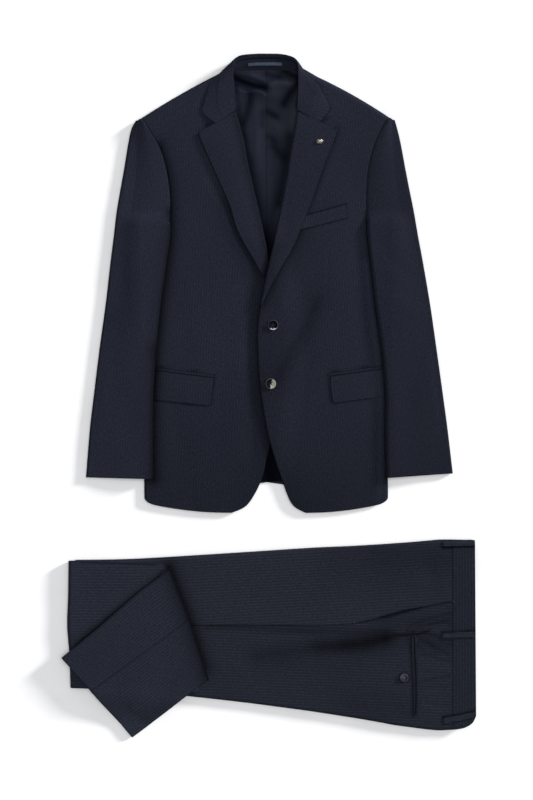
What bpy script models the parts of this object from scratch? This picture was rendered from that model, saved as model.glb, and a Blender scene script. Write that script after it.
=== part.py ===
"""Two-piece suit laid out flat: a buttoned jacket on its back, with the folded trousers below it.

Every cut piece is its own closed cloth wall. A panel is a grid stretched between two seams, whose
points come from a short table with one row for each section, and a height function says how it
lies on the layers under it. Tables and heights are in millimetres. X runs to the wearer's left,
Y towards the collar and Z up, and Z = 0 is the surface that the suit lies on.
"""
import math

import bmesh
import bpy
import numpy as np
from mathutils import Matrix, Vector

MM = 0.001

# --- driving dimensions, in millimetres -------------------------------------------------------
SEAM_GAP = 0.5            # between two pieces that are sewn edge to edge
LAY_GAP = 0.7             # between a piece and the curved layer under it
BACK_WALL = 1.6
LINING_WALL = 1.0
FRONT_WALL = 3.0          # shell, canvas and facing
LAPEL_WALL = 2.0
LAPEL_DROP = 3.2          # fall of a lapel at its roll edge
COLLAR_WALL = 2.2
STAND_WALL = 1.6
SLEEVE_WALL = 1.8
SLEEVE_AIR = 3.2          # inside a flat sleeve
SLEEVE_FALL = 30.0        # a sleeve sinks beside the body in this width
SLEEVE_HEAD = 2.6         # puff of the sleeve head
UNDERARM_ROW = 4.6        # row of a sleeve's table at which its undersleeve ends
SLEEVE_OVER = 0.70        # share of a topsleeve's section that lies on top
SLEEVE_TURN = 0.16        # share that turns round its outer edge
SLEEVE_NOSE = 5.0         # depth of that turn
SLEEVE_JOIN = (312.0, 340.0)      # Y from which a sleeve is sewn to the armhole, and fully held
SLEEVE_FOLD_INSET = 3.6   # of an undersleeve, inside the inner fold
FLAP_WALL = 1.6
TRIM_WALL = 1.0
TROUSER_WALL = 1.8
WAISTBAND_WALL = 2.6
LOOP_WALL = 1.6

FRONT_LIE = 6.4           # outer height of a front where it lies flat
LAP_RISE = 3.7            # rise of the left front where it laps on the right one
LAP_FADE = 55.0           # width in which that rise fades
CHEST_SWELL = 3.2
CHEST_AT = (112.0, 235.0)
CHEST_SPREAD = (75.0, 120.0)
SHOULDER_RISE = 8.6
SHOULDER_FROM = 330.0     # the rise starts at this Y
SHOULDER_TO = 520.0
SHOULDER_ROLL = 9.0       # width of the round edge along the shoulder
SHOULDER_EDGE = 0.55      # share of its height that the front keeps at that edge
EDGE_START = 0.2          # a rounded edge is read this far in, so it isn't sheer
NECK_LIFT = 4.7           # the back lies on the collar leaf here
NECK_SPREAD = 0.185       # half width of the neck opening for each millimetre of its height
NECK_X = -6.0             # centre-back seam
NECK_HALF = 62.0          # half width of the neck seam
BACK_SHOULDER = 4.6       # rise of the back at its shoulder edge
LINING_FOLD = 2.6         # height of the lining's lengthwise folds
LINING_FOLD_RUN = 15.0
LINING_BULGE = 1.6        # crosswise fold under the neck
SIDE_RUN_TOP = 11.0       # side panel, on top
SIDE_RUN_UNDER = 38.0     # side panel, on the floor
SIDE_HEM = -183.0
SIDE_TOP = 261.0
SIDE_DROP = 12.0          # the hem of the body runs this far down at its side
SIDE_EDGE = ((-189, 228.0, 215.0), (272, 235.0, 223.0))   # y, right half, left half

BUTTON_DIAMETER = 20.0
BUTTON_HEIGHT = 3.0
BUTTON_HOLE = 2.0
BUTTON_HOLE_PITCH = 3.6
HIP_BUTTON_DIAMETER = 16.0
BUTTONS = (("button_upper", 7.0, 129.0), ("button_lower", 3.0, 22.0))
HIP_BUTTON_AT = (246.0, -514.0)
STUD_AT = (92.0, 465.0)
STUD_SIZE = (14.0, 10.0, 3.0)

STACK_TOP = 7.6           # hidden layers of the folded trousers
STACK_FOLD = 7.0          # width of the round folds along them
TROUSER_LIE = 10.0        # outer height of the upper leg
RETURN_WALL = 3.2         # the folded-back leg is two layers
RETURN_LIE = 13.9         # its outer height
RETURN_SOFT = 1.8
RETURN_NOSE = 7.0         # depth of its round turn at the left fold
LEG_END_LENGTH = 245.0
RETURN_UNDER = 13.0       # it turns this far under the left fold
STACK_LEFT = -367.0       # left fold of the stack
WAIST_SEAM = 335.4
LEG_END_AIR = 2.6
LEG_UNDER_INSET = 6.2     # of the under layer, inside the round edges
DRAPE_RUN = 34.0          # the leg end falls to the floor in this width

COLLECTION = "two_piece_suit"

# --- sections ---------------------------------------------------------------------------------
# A row for each section, hem to shoulder: the point on the left seam and on the right seam, as
# seen from above.
#   left_x, left_y, right_x, right_y
FRONT_RIGHT = (
    (-213, -193, -75, -213), (-213, -176, -41, -197), (-213.5, -145, -16, -158),
    (-214, -108, -5, -116), (-214.5, -62, 6, -66), (-216, 20, 17, 20),
    (-217, 102, 19, 102), (-218, 166, 14, 164), (-219, 245, -6, 245),
    (-214, 273, -11, 274), (-194, 290, -18, 304), (-182, 318, -25, 342),
    (-180, 362, -32, 371), (-187, 413, -41, 413), (-199, 452, -49, 452),
    (-215, 480, -60, 494), (-226, 497, -68, 541), (-234, 506, -71, 598),
)
FRONT_LEFT = (
    (78, -214, 200, -195), (45, -196, 200, -176), (24, -155, 200.5, -145),
    (9, -112, 201, -108), (-5, -59, 201.5, -62), (-17, 20, 203, 20),
    (-22, 102, 204, 102), (-17, 159, 205, 166), (3, 239, 206, 241),
    (13, 276, 202, 271), (20, 305, 185, 287), (27, 338, 178, 318),
    (34, 368, 177, 366), (42, 410, 180, 413), (48, 452, 190, 454),
    (55, 494, 204, 487), (58, 541, 213, 501), (58, 600, 219, 508),
)
LAPEL_RIGHT = (
    (-13, 216, -9.5, 217), (-22, 228, -6, 231), (-35, 250, -3, 249),
    (-54, 300, -12, 300), (-72, 346, -20, 346), (-90, 388, -30, 388),
    (-108, 428, -39, 428), (-121, 457, -46, 468), (-129, 477, -55, 501),
    (-128, 480, -60, 520),
)
LAPEL_LEFT = (
    (-18, 163, -12, 168), (-9, 203, 5, 203), (-2, 236, 23, 236),
    (7, 276, 46, 276), (16, 318, 63, 318), (24, 358, 79, 358),
    (32, 399, 93, 399), (38, 439, 108, 439), (44, 472, 118, 465),
    (49, 504, 124, 483), (51, 519, 122, 486),
)
# The centre-back seam, and the armhole on the outer side.
BACK_RIGHT = (
    (-185.5, -183, -4, -158), (-188.5, -8, -4, 2), (-191, 175, -5, 185),
    (-192, 252, -6, 276), (-182, 293, -6, 318), (-180, 335, -6, 358),
    (-184, 395, -6, 422), (-198, 448, -6, 487), (-218, 485, -6, 541),
    (-233, 505, -6, 589),
)
BACK_LEFT = (
    (-3.4, -158, 172.5, -183), (-3.4, 2, 175.5, -8), (-4.4, 185, 178.5, 175),
    (-5.4, 276, 180, 252), (-5.4, 318, 184, 289), (-5.4, 358, 177, 335),
    (-5.4, 422, 181, 395), (-5.4, 487, 192, 454), (-5.4, 541, 206, 485),
    (-5.4, 589, 219, 507),
)
LINING_RIGHT = (
    (-43, -150, -4, -150), (-46, 29, -5, 29), (-61, 194, -5, 194),
    (-88, 322, -6, 322), (-92, 450, -6, 450), (-78, 532, -6, 532),
    (-60, 568, -6, 584),
)
LINING_LEFT = (
    (-3.4, -150, 36, -150), (-4.4, 29, 36, 29), (-4.4, 194, 50, 194),
    (-5.4, 322, 74, 322), (-5.4, 450, 80, 450), (-5.4, 532, 68, 532),
    (-5.4, 584, 49, 568),
)
# Sleeves, cuff to sleeve head. under_x is where the topsleeve ends on the underside.
#   left_x, left_y, right_x, right_y, under_x
TOPSLEEVE_RIGHT = (
    (-333, -149, -212, -152, -318), (-326, -62, -212, -62, -311), (-319, -2, -211, 2, -304),
    (-310, 84, -206, 84, -295), (-298, 166, -198, 166, -283), (-290, 239, -188, 238, -275),
    (-283, 293, -180.6, 293, -264), (-278, 336, -180.6, 335, -186), (-271, 377, -182.6, 377, -188),
    (-263, 419, -188.6, 417, -194), (-257, 457, -200.6, 455, -206), (-251, 487, -215.6, 483, -223),
    (-243, 503, -234.8, 506, -236.5),
)
TOPSLEEVE_LEFT = (
    (216, -150, 333, -142, 318), (214, -62, 324, -62, 309), (214, 2, 316, 2, 301),
    (206, 84, 304, 84, 289), (194, 166, 293, 166, 278), (185, 239, 280, 239, 265),
    (178.8, 293, 270, 293, 254), (177.8, 335, 263, 336, 183), (178.8, 377, 255, 377, 184),
    (182.8, 417, 247, 417, 188), (190.8, 455, 240, 455, 197), (202.8, 483, 234, 483, 211),
    (219.8, 508, 229, 504, 222),
)
# Trousers, from the left fold to the waistband: lower and upper edge of a section.
#   lower_x, lower_y, upper_x, upper_y
TROUSER_FRONT = (
    (-354, -418, -354, -302), (-255, -418, -255, -300), (-145, -418, -145, -294),
    (-35, -418, -35, -287), (75, -418, 75, -280), (159, -414, 159, -276),
    (239, -393, 239, -271), (286, -384, 287, -268), (335, -375, 335, -265),
)
TROUSER_BACK = (
    (-354, -533, -354, -418.6), (-255, -540, -255, -418.6), (-145, -549, -145, -418.6),
    (-35, -560, -35, -418.6), (75, -576, 75, -418.6), (159, -588, 159, -415),
    (239, -602, 239, -398), (286, -607, 287, -386.5), (335, -609, 335, -375.8),
)
WAISTBAND = (
    (335.8, -609, 335.8, -265), (345, -608, 345, -265), (358, -605, 358, -265),
    (371, -596, 371, -265), (378, -583, 376, -266),
)
# Leg that is folded back, lower edge to upper edge.
#   left_x, left_y, right_x, right_y
RETURN_LEG = (
    (-363, -533, -128, -541), (-365, -474, -132, -474), (-369, -419, -150, -419),
    (-367, -364, -172, -364), (-366, -304, -193, -308),
)
# Leg end, hem to fold: outer edge A to D, the side seam, and outer edge B to C.
#   edge_x, edge_y, seam_x, seam_y, far_x, far_y
LEG_END = (
    (-378, -480, -325, -543, -250, -624.5), (-346, -452, -295, -518, -226, -602),
    (-310, -422, -260, -492, -200, -583), (-273, -389, -226, -467, -171, -564),
    (-237, -358, -194, -444, -145, -547), (-200, -330, -167, -424, -123, -534),
    (-183, -312, -146, -407, -110, -520),
)
# Collar, from the right gorge round the back of the neck to the left gorge: the roll line, the
# turn half way and the outer edge of the leaf. An edge at 0 lies under the back of the neck.
#   roll_x, roll_y, roll_z, turn_x, turn_y, turn_z, edge_x, edge_y, edge_z
COLLAR_LEAF = (
    (-60, 523, 20, -79, 512, 20, -98, 501, 19), (-62, 545, 21, -90, 529, 20.5, -120, 519, 18.5),
    (-64, 571, 23, -92, 556, 22, -118, 540, 19), (-66, 589, 24, -89, 577, 22, -111, 565, 17),
    (-66, 598, 23.5, -87, 588.5, 20, -109, 580, 13.5), (-65, 603, 23, -85, 597, 16, -107, 589, 7),
    (-64, 606, 22, -82, 601, 13, -102, 579, 0), (-61, 611, 21, -75, 606, 11, -89, 568, 0),
    (-50, 619, 18, -54, 619, 9, -52, 572, 0), (-28, 622, 15, -28, 624, 7.5, -28, 576, 0),
    (-1, 623, 14, -1, 624.3, 7, -1, 576, 0), (23, 622, 15, 23, 623.3, 7.5, 25, 576, 0),
    (40, 616, 18, 44, 616, 9, 45, 572, 0), (49, 608, 21, 62, 605, 11, 75, 568, 0),
    (52, 603, 22, 69, 600, 13, 88, 579, 0), (53, 599, 23, 71, 596, 16, 93, 589, 7),
    (53, 594, 23.5, 74, 587, 20, 96, 580, 13.5), (53, 586, 24, 76, 575, 22, 98, 564, 17),
    (53, 565, 23, 80, 552, 22, 105, 541, 19), (52, 543, 21, 79, 528, 20.5, 109, 521, 18.5),
    (51, 523, 20, 71, 512, 20, 90, 502, 19),
)
# Collar stand, seen inside the neck: its top under the roll, and the seam at its foot.
#   top_x, top_y, top_z, foot_x, foot_y, foot_z
COLLAR_STAND = (
    (-59, 556, 18.4, -57, 552, 15), (-61, 573, 19.5, -57.5, 565, 12), (-61, 590, 20, -56, 575, 10),
    (-58, 604, 18.5, -50, 583, 8.5), (-47, 613, 15, -38, 588, 8), (-26, 616.5, 12, -24, 590.5, 8),
    (-1, 617.5, 11.2, -3, 591.5, 8), (22, 616, 12, 20, 590.5, 8), (38.5, 609, 15, 31, 588, 8),
    (45.5, 598, 18.5, 40, 583, 8.5), (48, 584, 20, 44, 575, 10), (48, 568, 19.5, 45, 563, 12),
    (47, 553, 18.4, 45, 549, 15),
)
# Hidden layers of the folded trousers: how far in from the fold they lie at each height, with the
# rounded layer that shows and then the steps under the panels, and X of their sections.
STACK_EDGE = ((3.0, 0.0), (1.4, 0.9), (2.6, 1.9), (3.6, 2.6), (6.5, 3.2), (11.5, 5.2),
              (14.0, STACK_TOP))
STACK_SECTIONS = (-343, -250, -150, -50, 50, 150, 240, 320, 364)
# Pieces that lie on a panel, lower edge to upper edge.
#   left_x, left_y, right_x, right_y
FLAP_RIGHT = ((-206, -7, -114, -17), (-207, 3, -108, -10), (-207, 24, -103, 11), (-206, 47, -100, 33))
FLAP_LEFT = ((119, -13, 202, -2), (114, -5, 203, 8), (112, 16, 203, 29), (111, 36, 202, 49))
JET_RIGHT = ((-206, 47.8, -99, 33.8), (-206, 52.5, -99, 38.5))
JET_LEFT = ((109, 36.8, 202, 49.8), (109, 41.5, 202, 54.5))
BREAST_WELT = ((74, 307, 143, 325), (77, 320, 141.5, 338), (80, 333, 140, 350))
BELT_LOOPS = (
    ("belt_loop_side", (318, -277, 375, -277), (318, -267.5, 375, -266)),
    ("belt_loop_middle", (317, -443, 376, -443), (316, -433.5, 376, -433.5)),
    ("belt_loop_back", (318, -602, 374, -590), (318, -592.5, 376, -580.5)),
)
HIP_JETS = (
    ("hip_jet_inner", (259.2, -581, 262.6, -581), (259.9, -439, 263.3, -439)),
    ("hip_jet_outer", (263.4, -581, 267, -581), (264.1, -439, 267.7, -439)),
)
POCKET_FACING = ((206, -404.4, 206, -402.4), (222, -401.6, 222, -398.4), (239, -397.2, 239, -393.8),
                 (256, -392.9, 256, -390.1), (272, -389, 272, -387))


# --- curves and heights -----------------------------------------------------------------------
def smooth(value, low, high):
    """0 below low, 1 above high, and an S-curve between them."""
    part = min(max((value - low) / (high - low), 0.0), 1.0)
    return part * part * (3.0 - 2.0 * part)


def swell(x, y, at, spread):
    """A soft round rise of height 1 at a point."""
    return math.exp(-((x - at[0]) / spread[0]) ** 2 - ((y - at[1]) / spread[1]) ** 2)


def rounded(distance, width):
    """0 at an edge and 1 from width inwards, as a quarter of an ellipse."""
    part = min(max(distance / width, 0.0), 1.0)
    return math.sqrt(1.0 - (1.0 - part) ** 2)


def section(rows, share):
    """One row of a table, read at a share of its length on a smooth curve through its rows."""
    table = np.asarray(rows, dtype=float)
    place = share * (len(table) - 1)
    index = min(int(place), len(table) - 2)
    part = place - index
    before, start = table[max(index - 1, 0)], table[index]
    end, after = table[index + 1], table[min(index + 2, len(table) - 1)]
    leave, arrive = (end - before) / 2, (after - start) / 2
    return (start + leave * part + (3 * (end - start) - 2 * leave - arrive) * part ** 2
            + (2 * (start - end) + leave + arrive) * part ** 3)


def side_edge(column, y):
    """The side edge of the body at a height y."""
    (low_y, *low), (high_y, *high) = SIDE_EDGE
    part = (y - low_y) / (high_y - low_y)
    return low[column] + (high[column] - low[column]) * part


def shoulder_distance(x, y):
    """How far a point lies below the edge of the shoulder, which falls from neck to sleeve."""
    neck, tip = ((-71, 598), (-234, 506)) if x < -6 else ((58, 600), (219, 508))
    run, rise = tip[0] - neck[0], tip[1] - neck[1]
    edge = neck[1] + (x - neck[0]) * rise / run
    return (edge - y) * abs(run) / math.hypot(run, rise)


def armhole_x(column, y):
    """X of the armhole seam at a height y, from the outer seam of the front."""
    rows = (FRONT_RIGHT, FRONT_LEFT)[column]
    seam = [section(rows, 0.6 + 0.4 * step / 40)[2 * column:2 * column + 2] for step in range(41)]
    return float(np.interp(y, [point[1] for point in seam], [point[0] for point in seam]))


def front_height(x, y):
    """Outer height of a front panel where nothing laps under it."""
    side = -1 if x < 0 else 1
    chest = CHEST_SWELL * swell(x * side, y, CHEST_AT, CHEST_SPREAD)
    shoulder = SHOULDER_RISE * smooth(y, SHOULDER_FROM, SHOULDER_TO)
    under_sleeve = smooth(abs(x), 165, 200) * (1 - smooth(y, 262, 330))
    height = FRONT_LIE + chest * (1 - under_sleeve) + shoulder
    low_edge = height * SHOULDER_EDGE
    return low_edge + (height - low_edge) * rounded(shoulder_distance(x, y) + EDGE_START, SHOULDER_ROLL)


def right_front_edge(y):
    """X of the free edge of the right front at a height y."""
    rows = [row for row in FRONT_RIGHT if row[3] <= 310]
    return float(np.interp(y, [row[3] for row in rows], [row[2] for row in rows]))


def left_front_height(x, y):
    """The left front laps on the right one and sinks beside it."""
    lap = 1 - smooth(x - right_front_edge(y), 6, LAP_FADE)
    lap *= smooth(y, -190, -120) * (1 - smooth(y, 300, 380))
    return front_height(x, y) + LAP_RISE * lap


def back_height(x, y):
    """Underside of the back: flat, but for the neck, which lies on the collar, and the shoulder."""
    from_centre = abs(x - NECK_X)
    neck = NECK_LIFT * smooth(y, 520, 566) * (1 - smooth(from_centre, 92, 140))
    if from_centre < NECK_HALF:
        return neck
    edge = 1 - rounded(shoulder_distance(x, y) + EDGE_START, SHOULDER_ROLL)
    return max(neck, BACK_SHOULDER * edge)


def lining_height(x, y):
    """The lining lies on the back, with soft folds where the neck opening leaves it free."""
    opening = (y - 240) * NECK_SPREAD
    free = smooth(y, 250, 320) * (1 - smooth(abs(x + 3), opening - 12, opening + 1))
    folds = LINING_FOLD * math.sin((x + 14) / LINING_FOLD_RUN) ** 2
    folds += LINING_BULGE * swell(x, y, (-22, 552), (34, 12))
    lift = 0.35 + 0.5 * smooth(y, 470, 520)
    return back_height(x, y) + BACK_WALL + lift + LINING_WALL + folds * free


def lapel_height(x, y, front):
    """Outer height of a lapel lying on its front."""
    return front(x, y) + LAY_GAP + LAPEL_WALL


def trouser_height(x, y):
    """Outer height of the upper leg, rounded along its two folded edges."""
    top = float(np.interp(x, [row[0] for row in TROUSER_FRONT], [row[3] for row in TROUSER_FRONT]))
    low = float(np.interp(x, [row[0] for row in TROUSER_BACK], [row[1] for row in TROUSER_BACK]))
    inside = min(top - y, y - low)
    fold = rounded(inside + 0.1, STACK_FOLD)
    return TROUSER_LIE * (0.45 + 0.55 * fold)


def return_height(x, y):
    """Outer height of the folded-back leg, softened at its two long edges."""
    inside = min(RETURN_LEG[-1][1] + 1 - y, y - stack_edge_y(x))
    return RETURN_LIE - RETURN_SOFT * (1 - rounded(inside + 0.4, RETURN_SOFT * 2))


def stack_edge_y(x):
    """Y of the lower edge of the folded trousers near their left fold."""
    return float(np.interp(x, [row[0] for row in TROUSER_BACK], [row[1] for row in TROUSER_BACK]))


def leg_rest(x, y):
    """Height under the leg end: the stack where it lies on it, and the floor beside it."""
    inside = min(y - stack_edge_y(x), x - STACK_LEFT)
    return (RETURN_LIE + 1.2) * smooth(inside, -DRAPE_RUN, -2.0)


def waistband_height(x, y):
    """Outer height of the waistband and, beside it, of the panels it is sewn to."""
    band = smooth(x, WAIST_SEAM - 8, WAIST_SEAM - 1)
    return trouser_height(x, y) + (WAISTBAND_WALL - TROUSER_WALL) * band


# --- solids -----------------------------------------------------------------------------------
def material(name, colour, roughness, metallic=0.0):
    """A plain principled finish."""
    made = bpy.data.materials.new(name)
    made.use_nodes = True
    shader = made.node_tree.nodes["Principled BSDF"]
    shader.inputs["Base Color"].default_value = (*colour, 1.0)
    shader.inputs["Roughness"].default_value = roughness
    shader.inputs["Metallic"].default_value = metallic
    return made


def eased(share, ease):
    """Crowd a share of 0 to 1 towards its two ends."""
    return share * (1 - ease) + ease * (0.5 - 0.5 * math.cos(math.pi * share))


def cloth(name, place, counts, wall, finish, ease=(0.0, 0.0), face_down=False):
    """A cloth wall: a grid whose points place(u, v) puts in space, thickened inwards."""
    grid = bmesh.new()
    bmesh.ops.create_grid(grid, x_segments=counts[0], y_segments=counts[1], size=0.5)
    for vertex in grid.verts:
        u = eased(min(max(vertex.co.x + 0.5, 0.0), 1.0), ease[0])
        v = eased(min(max(vertex.co.y + 0.5, 0.0), 1.0), ease[1])
        vertex.co = Vector(place(u, v)) * MM
    if face_down:
        bmesh.ops.reverse_faces(grid, faces=grid.faces)
    bmesh.ops.triangulate(grid, faces=grid.faces)
    return wall_object(name, grid, wall, finish)


def wall_object(name, grid, wall, finish):
    """Make an object of a surface and give it its thickness."""
    mesh = bpy.data.meshes.new(name)
    grid.to_mesh(mesh)
    grid.free()
    mesh.materials.append(finish)
    piece = bpy.data.objects.new(name, mesh)
    bpy.data.collections[COLLECTION].objects.link(piece)
    solidify = piece.modifiers.new("wall", 'SOLIDIFY')
    solidify.thickness = wall * MM
    solidify.offset = -1.0
    return piece


def panel(rows, height, sag=0.0, corner=None):
    """Place a panel between its left and right seams. sag bows the first section outwards, and
    corner = (share, rise) lifts the last section to a corner, as at the neck point."""
    def place(u, v):
        left_x, left_y, right_x, right_y = section(rows, v)[:4]
        x = left_x + (right_x - left_x) * u
        y = left_y + (right_y - left_y) * u
        y -= sag * 4 * u * (1 - u) * (1 - v) ** 6
        if corner:
            share, rise = corner
            y += rise * min(u / share, (1 - u) / (1 - share)) * smooth(v, 0.55, 1.0)
        return x, y, height(x, y)
    return place


def upright_panel(rows, height):
    """Place a panel whose rows run along X, each with its lower and upper point."""
    def place(u, v):
        low_x, low_y, top_x, top_y = section(rows, u)
        x = low_x + (top_x - low_x) * v
        y = low_y + (top_y - low_y) * v
        return x, y, height(x, y)
    return place


def lapel_place(rows, front, roll_on_left):
    """A lapel falls round at its roll edge to cover the edge of its front, but for its low end."""
    def place(u, v):
        left_x, left_y, right_x, right_y = section(rows, v)
        x = left_x + (right_x - left_x) * u
        y = left_y + (right_y - left_y) * u
        width = right_x - left_x
        from_roll = (u if roll_on_left else 1 - u) * width
        top = lapel_height(x, y, front)
        drop = LAPEL_DROP * smooth(v, 0.1, 0.35) if not roll_on_left else LAPEL_DROP
        return x, y, top - drop * (1 - rounded(from_roll + 0.15, 4.0))
    return place


def side_place(column, sign):
    """A side panel: along the floor, round the edge of the body and a little way over its top."""
    radius = FRONT_LIE / 2
    half_turn = math.pi * radius
    whole = SIDE_RUN_UNDER + half_turn + SIDE_RUN_TOP

    def place(u, v):
        run = u * whole
        y = SIDE_HEM + v * (SIDE_TOP - SIDE_HEM)
        edge = side_edge(column, y) - radius
        if run < SIDE_RUN_UNDER:
            out, z = edge - (SIDE_RUN_UNDER - run), 0.0
        elif run < SIDE_RUN_UNDER + half_turn:
            angle = (run - SIDE_RUN_UNDER) / radius
            out, z = edge + radius * math.sin(angle), radius * (1 - math.cos(angle))
        else:
            out, z = edge - (run - SIDE_RUN_UNDER - half_turn), FRONT_LIE
        drop = (SIDE_DROP - 2.0 * u) * smooth(-y, 150, -SIDE_HEM)
        return sign * out, y - drop, z
    return place


def sleeve_rest(x, y, sign, column):
    """Height under a sleeve: the body where it lies on it, and the floor beside it."""
    edge = side_edge(column, y)
    on_body = 1 - smooth(sign * x, edge + 1, edge + SLEEVE_FALL)
    return (front_height(x, y) + LAY_GAP) * on_body


def topsleeve_place(rows, sign, column):
    """A topsleeve: from the armhole or inner fold over the top, round the outer edge and under."""
    thickness = 2 * SLEEVE_WALL + SLEEVE_AIR

    def place(u, v):
        left_x, left_y, right_x, right_y, under_x = section(rows, v)
        inner, outer = ((right_x, right_y), (left_x, left_y))[::-sign]
        joined = smooth(inner[1], *SLEEVE_JOIN)
        if inner[1] > SLEEVE_JOIN[0]:
            inner = (armhole_x(column, inner[1]) + sign * (SEAM_GAP + 0.2), inner[1])
        width = abs(outer[0] - inner[0])
        nose = min(SLEEVE_NOSE, width * 0.35)
        if u <= SLEEVE_OVER:
            share = u / SLEEVE_OVER
            out = share * (width - nose)
            x = inner[0] + sign * out
            y = inner[1] + (outer[1] - inner[1]) * share
            rest = sleeve_rest(x, y, sign, column)
            free = rest + thickness + 1.0 * math.sin(math.pi * share)
            foot = rest + 0.4
            free = foot + (free - foot) * rounded(out + EDGE_START, SLEEVE_NOSE)
            held = front_height(*inner) * (1 - share) + thickness * share
            held += SLEEVE_HEAD * math.sin(math.pi * min(share * 1.3, 1.0))
            return x, y, free * (1 - joined) + held * joined
        if u <= SLEEVE_OVER + SLEEVE_TURN:
            angle = math.pi * (u - SLEEVE_OVER) / SLEEVE_TURN
            x = outer[0] - sign * nose * (1 - math.sin(angle))
            return x, outer[1], thickness / 2 * (1 + math.cos(angle))
        share = (u - SLEEVE_OVER - SLEEVE_TURN) / (1 - SLEEVE_OVER - SLEEVE_TURN)
        x = outer[0] - sign * nose
        return x + (under_x - x) * share, outer[1], 0.0
    return place


def undersleeve_place(rows, sign, column):
    """An undersleeve: flat on the floor, and over the side of the body at its inner edge."""
    underarm = UNDERARM_ROW / (len(rows) - 1)

    def place(u, v):
        left_x, left_y, right_x, right_y, under_x = section(rows, v * underarm)
        if sign < 0:
            start, end = under_x + 1.0, right_x - SLEEVE_FOLD_INSET
        else:
            start, end = left_x + SLEEVE_FOLD_INSET, under_x - 1.0
        x = start + (end - start) * u
        y = left_y + (right_y - left_y) * u
        return x, y, sleeve_rest(x, y, sign, column)
    return place


def collar_place(u, v):
    """A point of the leaf: over the shoulder beside the neck, and turned under it at the back."""
    roll, turn, edge = section(COLLAR_LEAF, u).reshape(3, 3)
    on_top = min(max(edge[2] / 19.0, 0.0), 1.0)
    under = edge + (turn - edge) * np.array((0.8, 0.8, 0.15 + 0.65 * on_top))
    point = section((roll, turn, under, edge), v)
    return point[0], point[1], max(point[2], 0.0)


def disc(name, at, diameter, height, finish):
    """A turned button with a raised rim, drilled with four holes."""
    radius = diameter / 2
    profile = ((0, height * 0.62), (radius * 0.55, height * 0.62), (radius * 0.74, height * 0.86),
               (radius * 0.88, height), (radius, height * 0.72), (radius, height * 0.35),
               (radius * 0.8, 0), (0, 0))
    turned = bmesh.new()
    points = [turned.verts.new((x * MM, 0, z * MM)) for x, z in profile]
    edges = [turned.edges.new(pair) for pair in zip(points, points[1:])]
    bmesh.ops.spin(turned, geom=points + edges, axis=(0, 0, 1), cent=(0, 0, 0),
                   angle=2 * math.pi, steps=20, use_merge=True)
    bmesh.ops.remove_doubles(turned, verts=turned.verts, dist=0.00001)
    bmesh.ops.recalc_face_normals(turned, faces=turned.faces)
    piece = solid(name, turned, finish, at)
    cut = piece.modifiers.new("holes", 'BOOLEAN')
    cut.object = hole_cutter(name, at, height)
    cut.solver = 'EXACT'
    return piece


def hole_cutter(name, at, height):
    """Four thread holes in one cutter."""
    pins = bmesh.new()
    for side_x in (-1, 1):
        for side_y in (-1, 1):
            spot = Matrix.Translation(Vector((side_x, side_y, 0)) * BUTTON_HOLE_PITCH / 2 * MM)
            bmesh.ops.create_cone(pins, cap_ends=True, segments=6, radius1=BUTTON_HOLE / 2 * MM,
                                  radius2=BUTTON_HOLE / 2 * MM, depth=4 * height * MM, matrix=spot)
    mesh = bpy.data.meshes.new(name + "_cutter")
    pins.to_mesh(mesh)
    pins.free()
    cutter = bpy.data.objects.new(name + "_cutter", mesh)
    cutter.location = Vector(at) * MM
    cutter.hide_render = True
    cutter.display_type = 'WIRE'
    bpy.data.collections["cutters"].objects.link(cutter)
    return cutter


def build_jacket(wool, lining):
    """The panels, sleeves and collar of the jacket."""
    cloth("back_right", panel(BACK_RIGHT, back_height, corner=(0.71, 34)), (7, 12), BACK_WALL,
          wool, ease=(0.3, 0.0), face_down=True)
    cloth("back_left", panel(BACK_LEFT, back_height, corner=(0.29, 34)), (7, 12), BACK_WALL,
          wool, ease=(0.3, 0.0), face_down=True)
    cloth("back_lining_right", panel(LINING_RIGHT, lining_height), (8, 16), LINING_WALL, lining)
    cloth("back_lining_left", panel(LINING_LEFT, lining_height), (8, 16), LINING_WALL, lining)
    cloth("side_panel_right", side_place(0, -1), (12, 4), BACK_WALL, wool)
    cloth("side_panel_left", side_place(1, 1), (12, 4), BACK_WALL, wool, face_down=True)
    cloth("front_right", panel(FRONT_RIGHT, front_height, sag=5), (10, 22), FRONT_WALL, wool,
          ease=(0.4, 0.35))
    cloth("front_left", panel(FRONT_LEFT, left_front_height, sag=5), (11, 22), FRONT_WALL, wool,
          ease=(0.4, 0.35))
    cloth("lapel_right", lapel_place(LAPEL_RIGHT, front_height, False), (7, 16), LAPEL_WALL, wool,
          ease=(0.6, 0.0))
    cloth("lapel_left", lapel_place(LAPEL_LEFT, left_front_height, True), (7, 16), LAPEL_WALL,
          wool, ease=(0.6, 0.0))
    cloth("collar_leaf", collar_place, (40, 6), COLLAR_WALL, wool)
    cloth("collar_stand", lambda u, v: section(section(COLLAR_STAND, u).reshape(2, 3), v),
          (28, 3), STAND_WALL, wool, face_down=True)
    for side, sign, column, rows in (("right", -1, 0, TOPSLEEVE_RIGHT),
                                     ("left", 1, 1, TOPSLEEVE_LEFT)):
        cloth("topsleeve_" + side, topsleeve_place(rows, sign, column), (18, 16), SLEEVE_WALL,
              wool, face_down=sign < 0)
        cloth("undersleeve_" + side, undersleeve_place(rows, sign, column), (9, 7), SLEEVE_WALL,
              wool, face_down=True)


def on_top(rows, height, wall, gap=LAY_GAP):
    """A piece that lies on a panel, made from the panel's own heights moved out."""
    return panel(rows, lambda x, y: height(x, y) + gap + wall)


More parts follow.
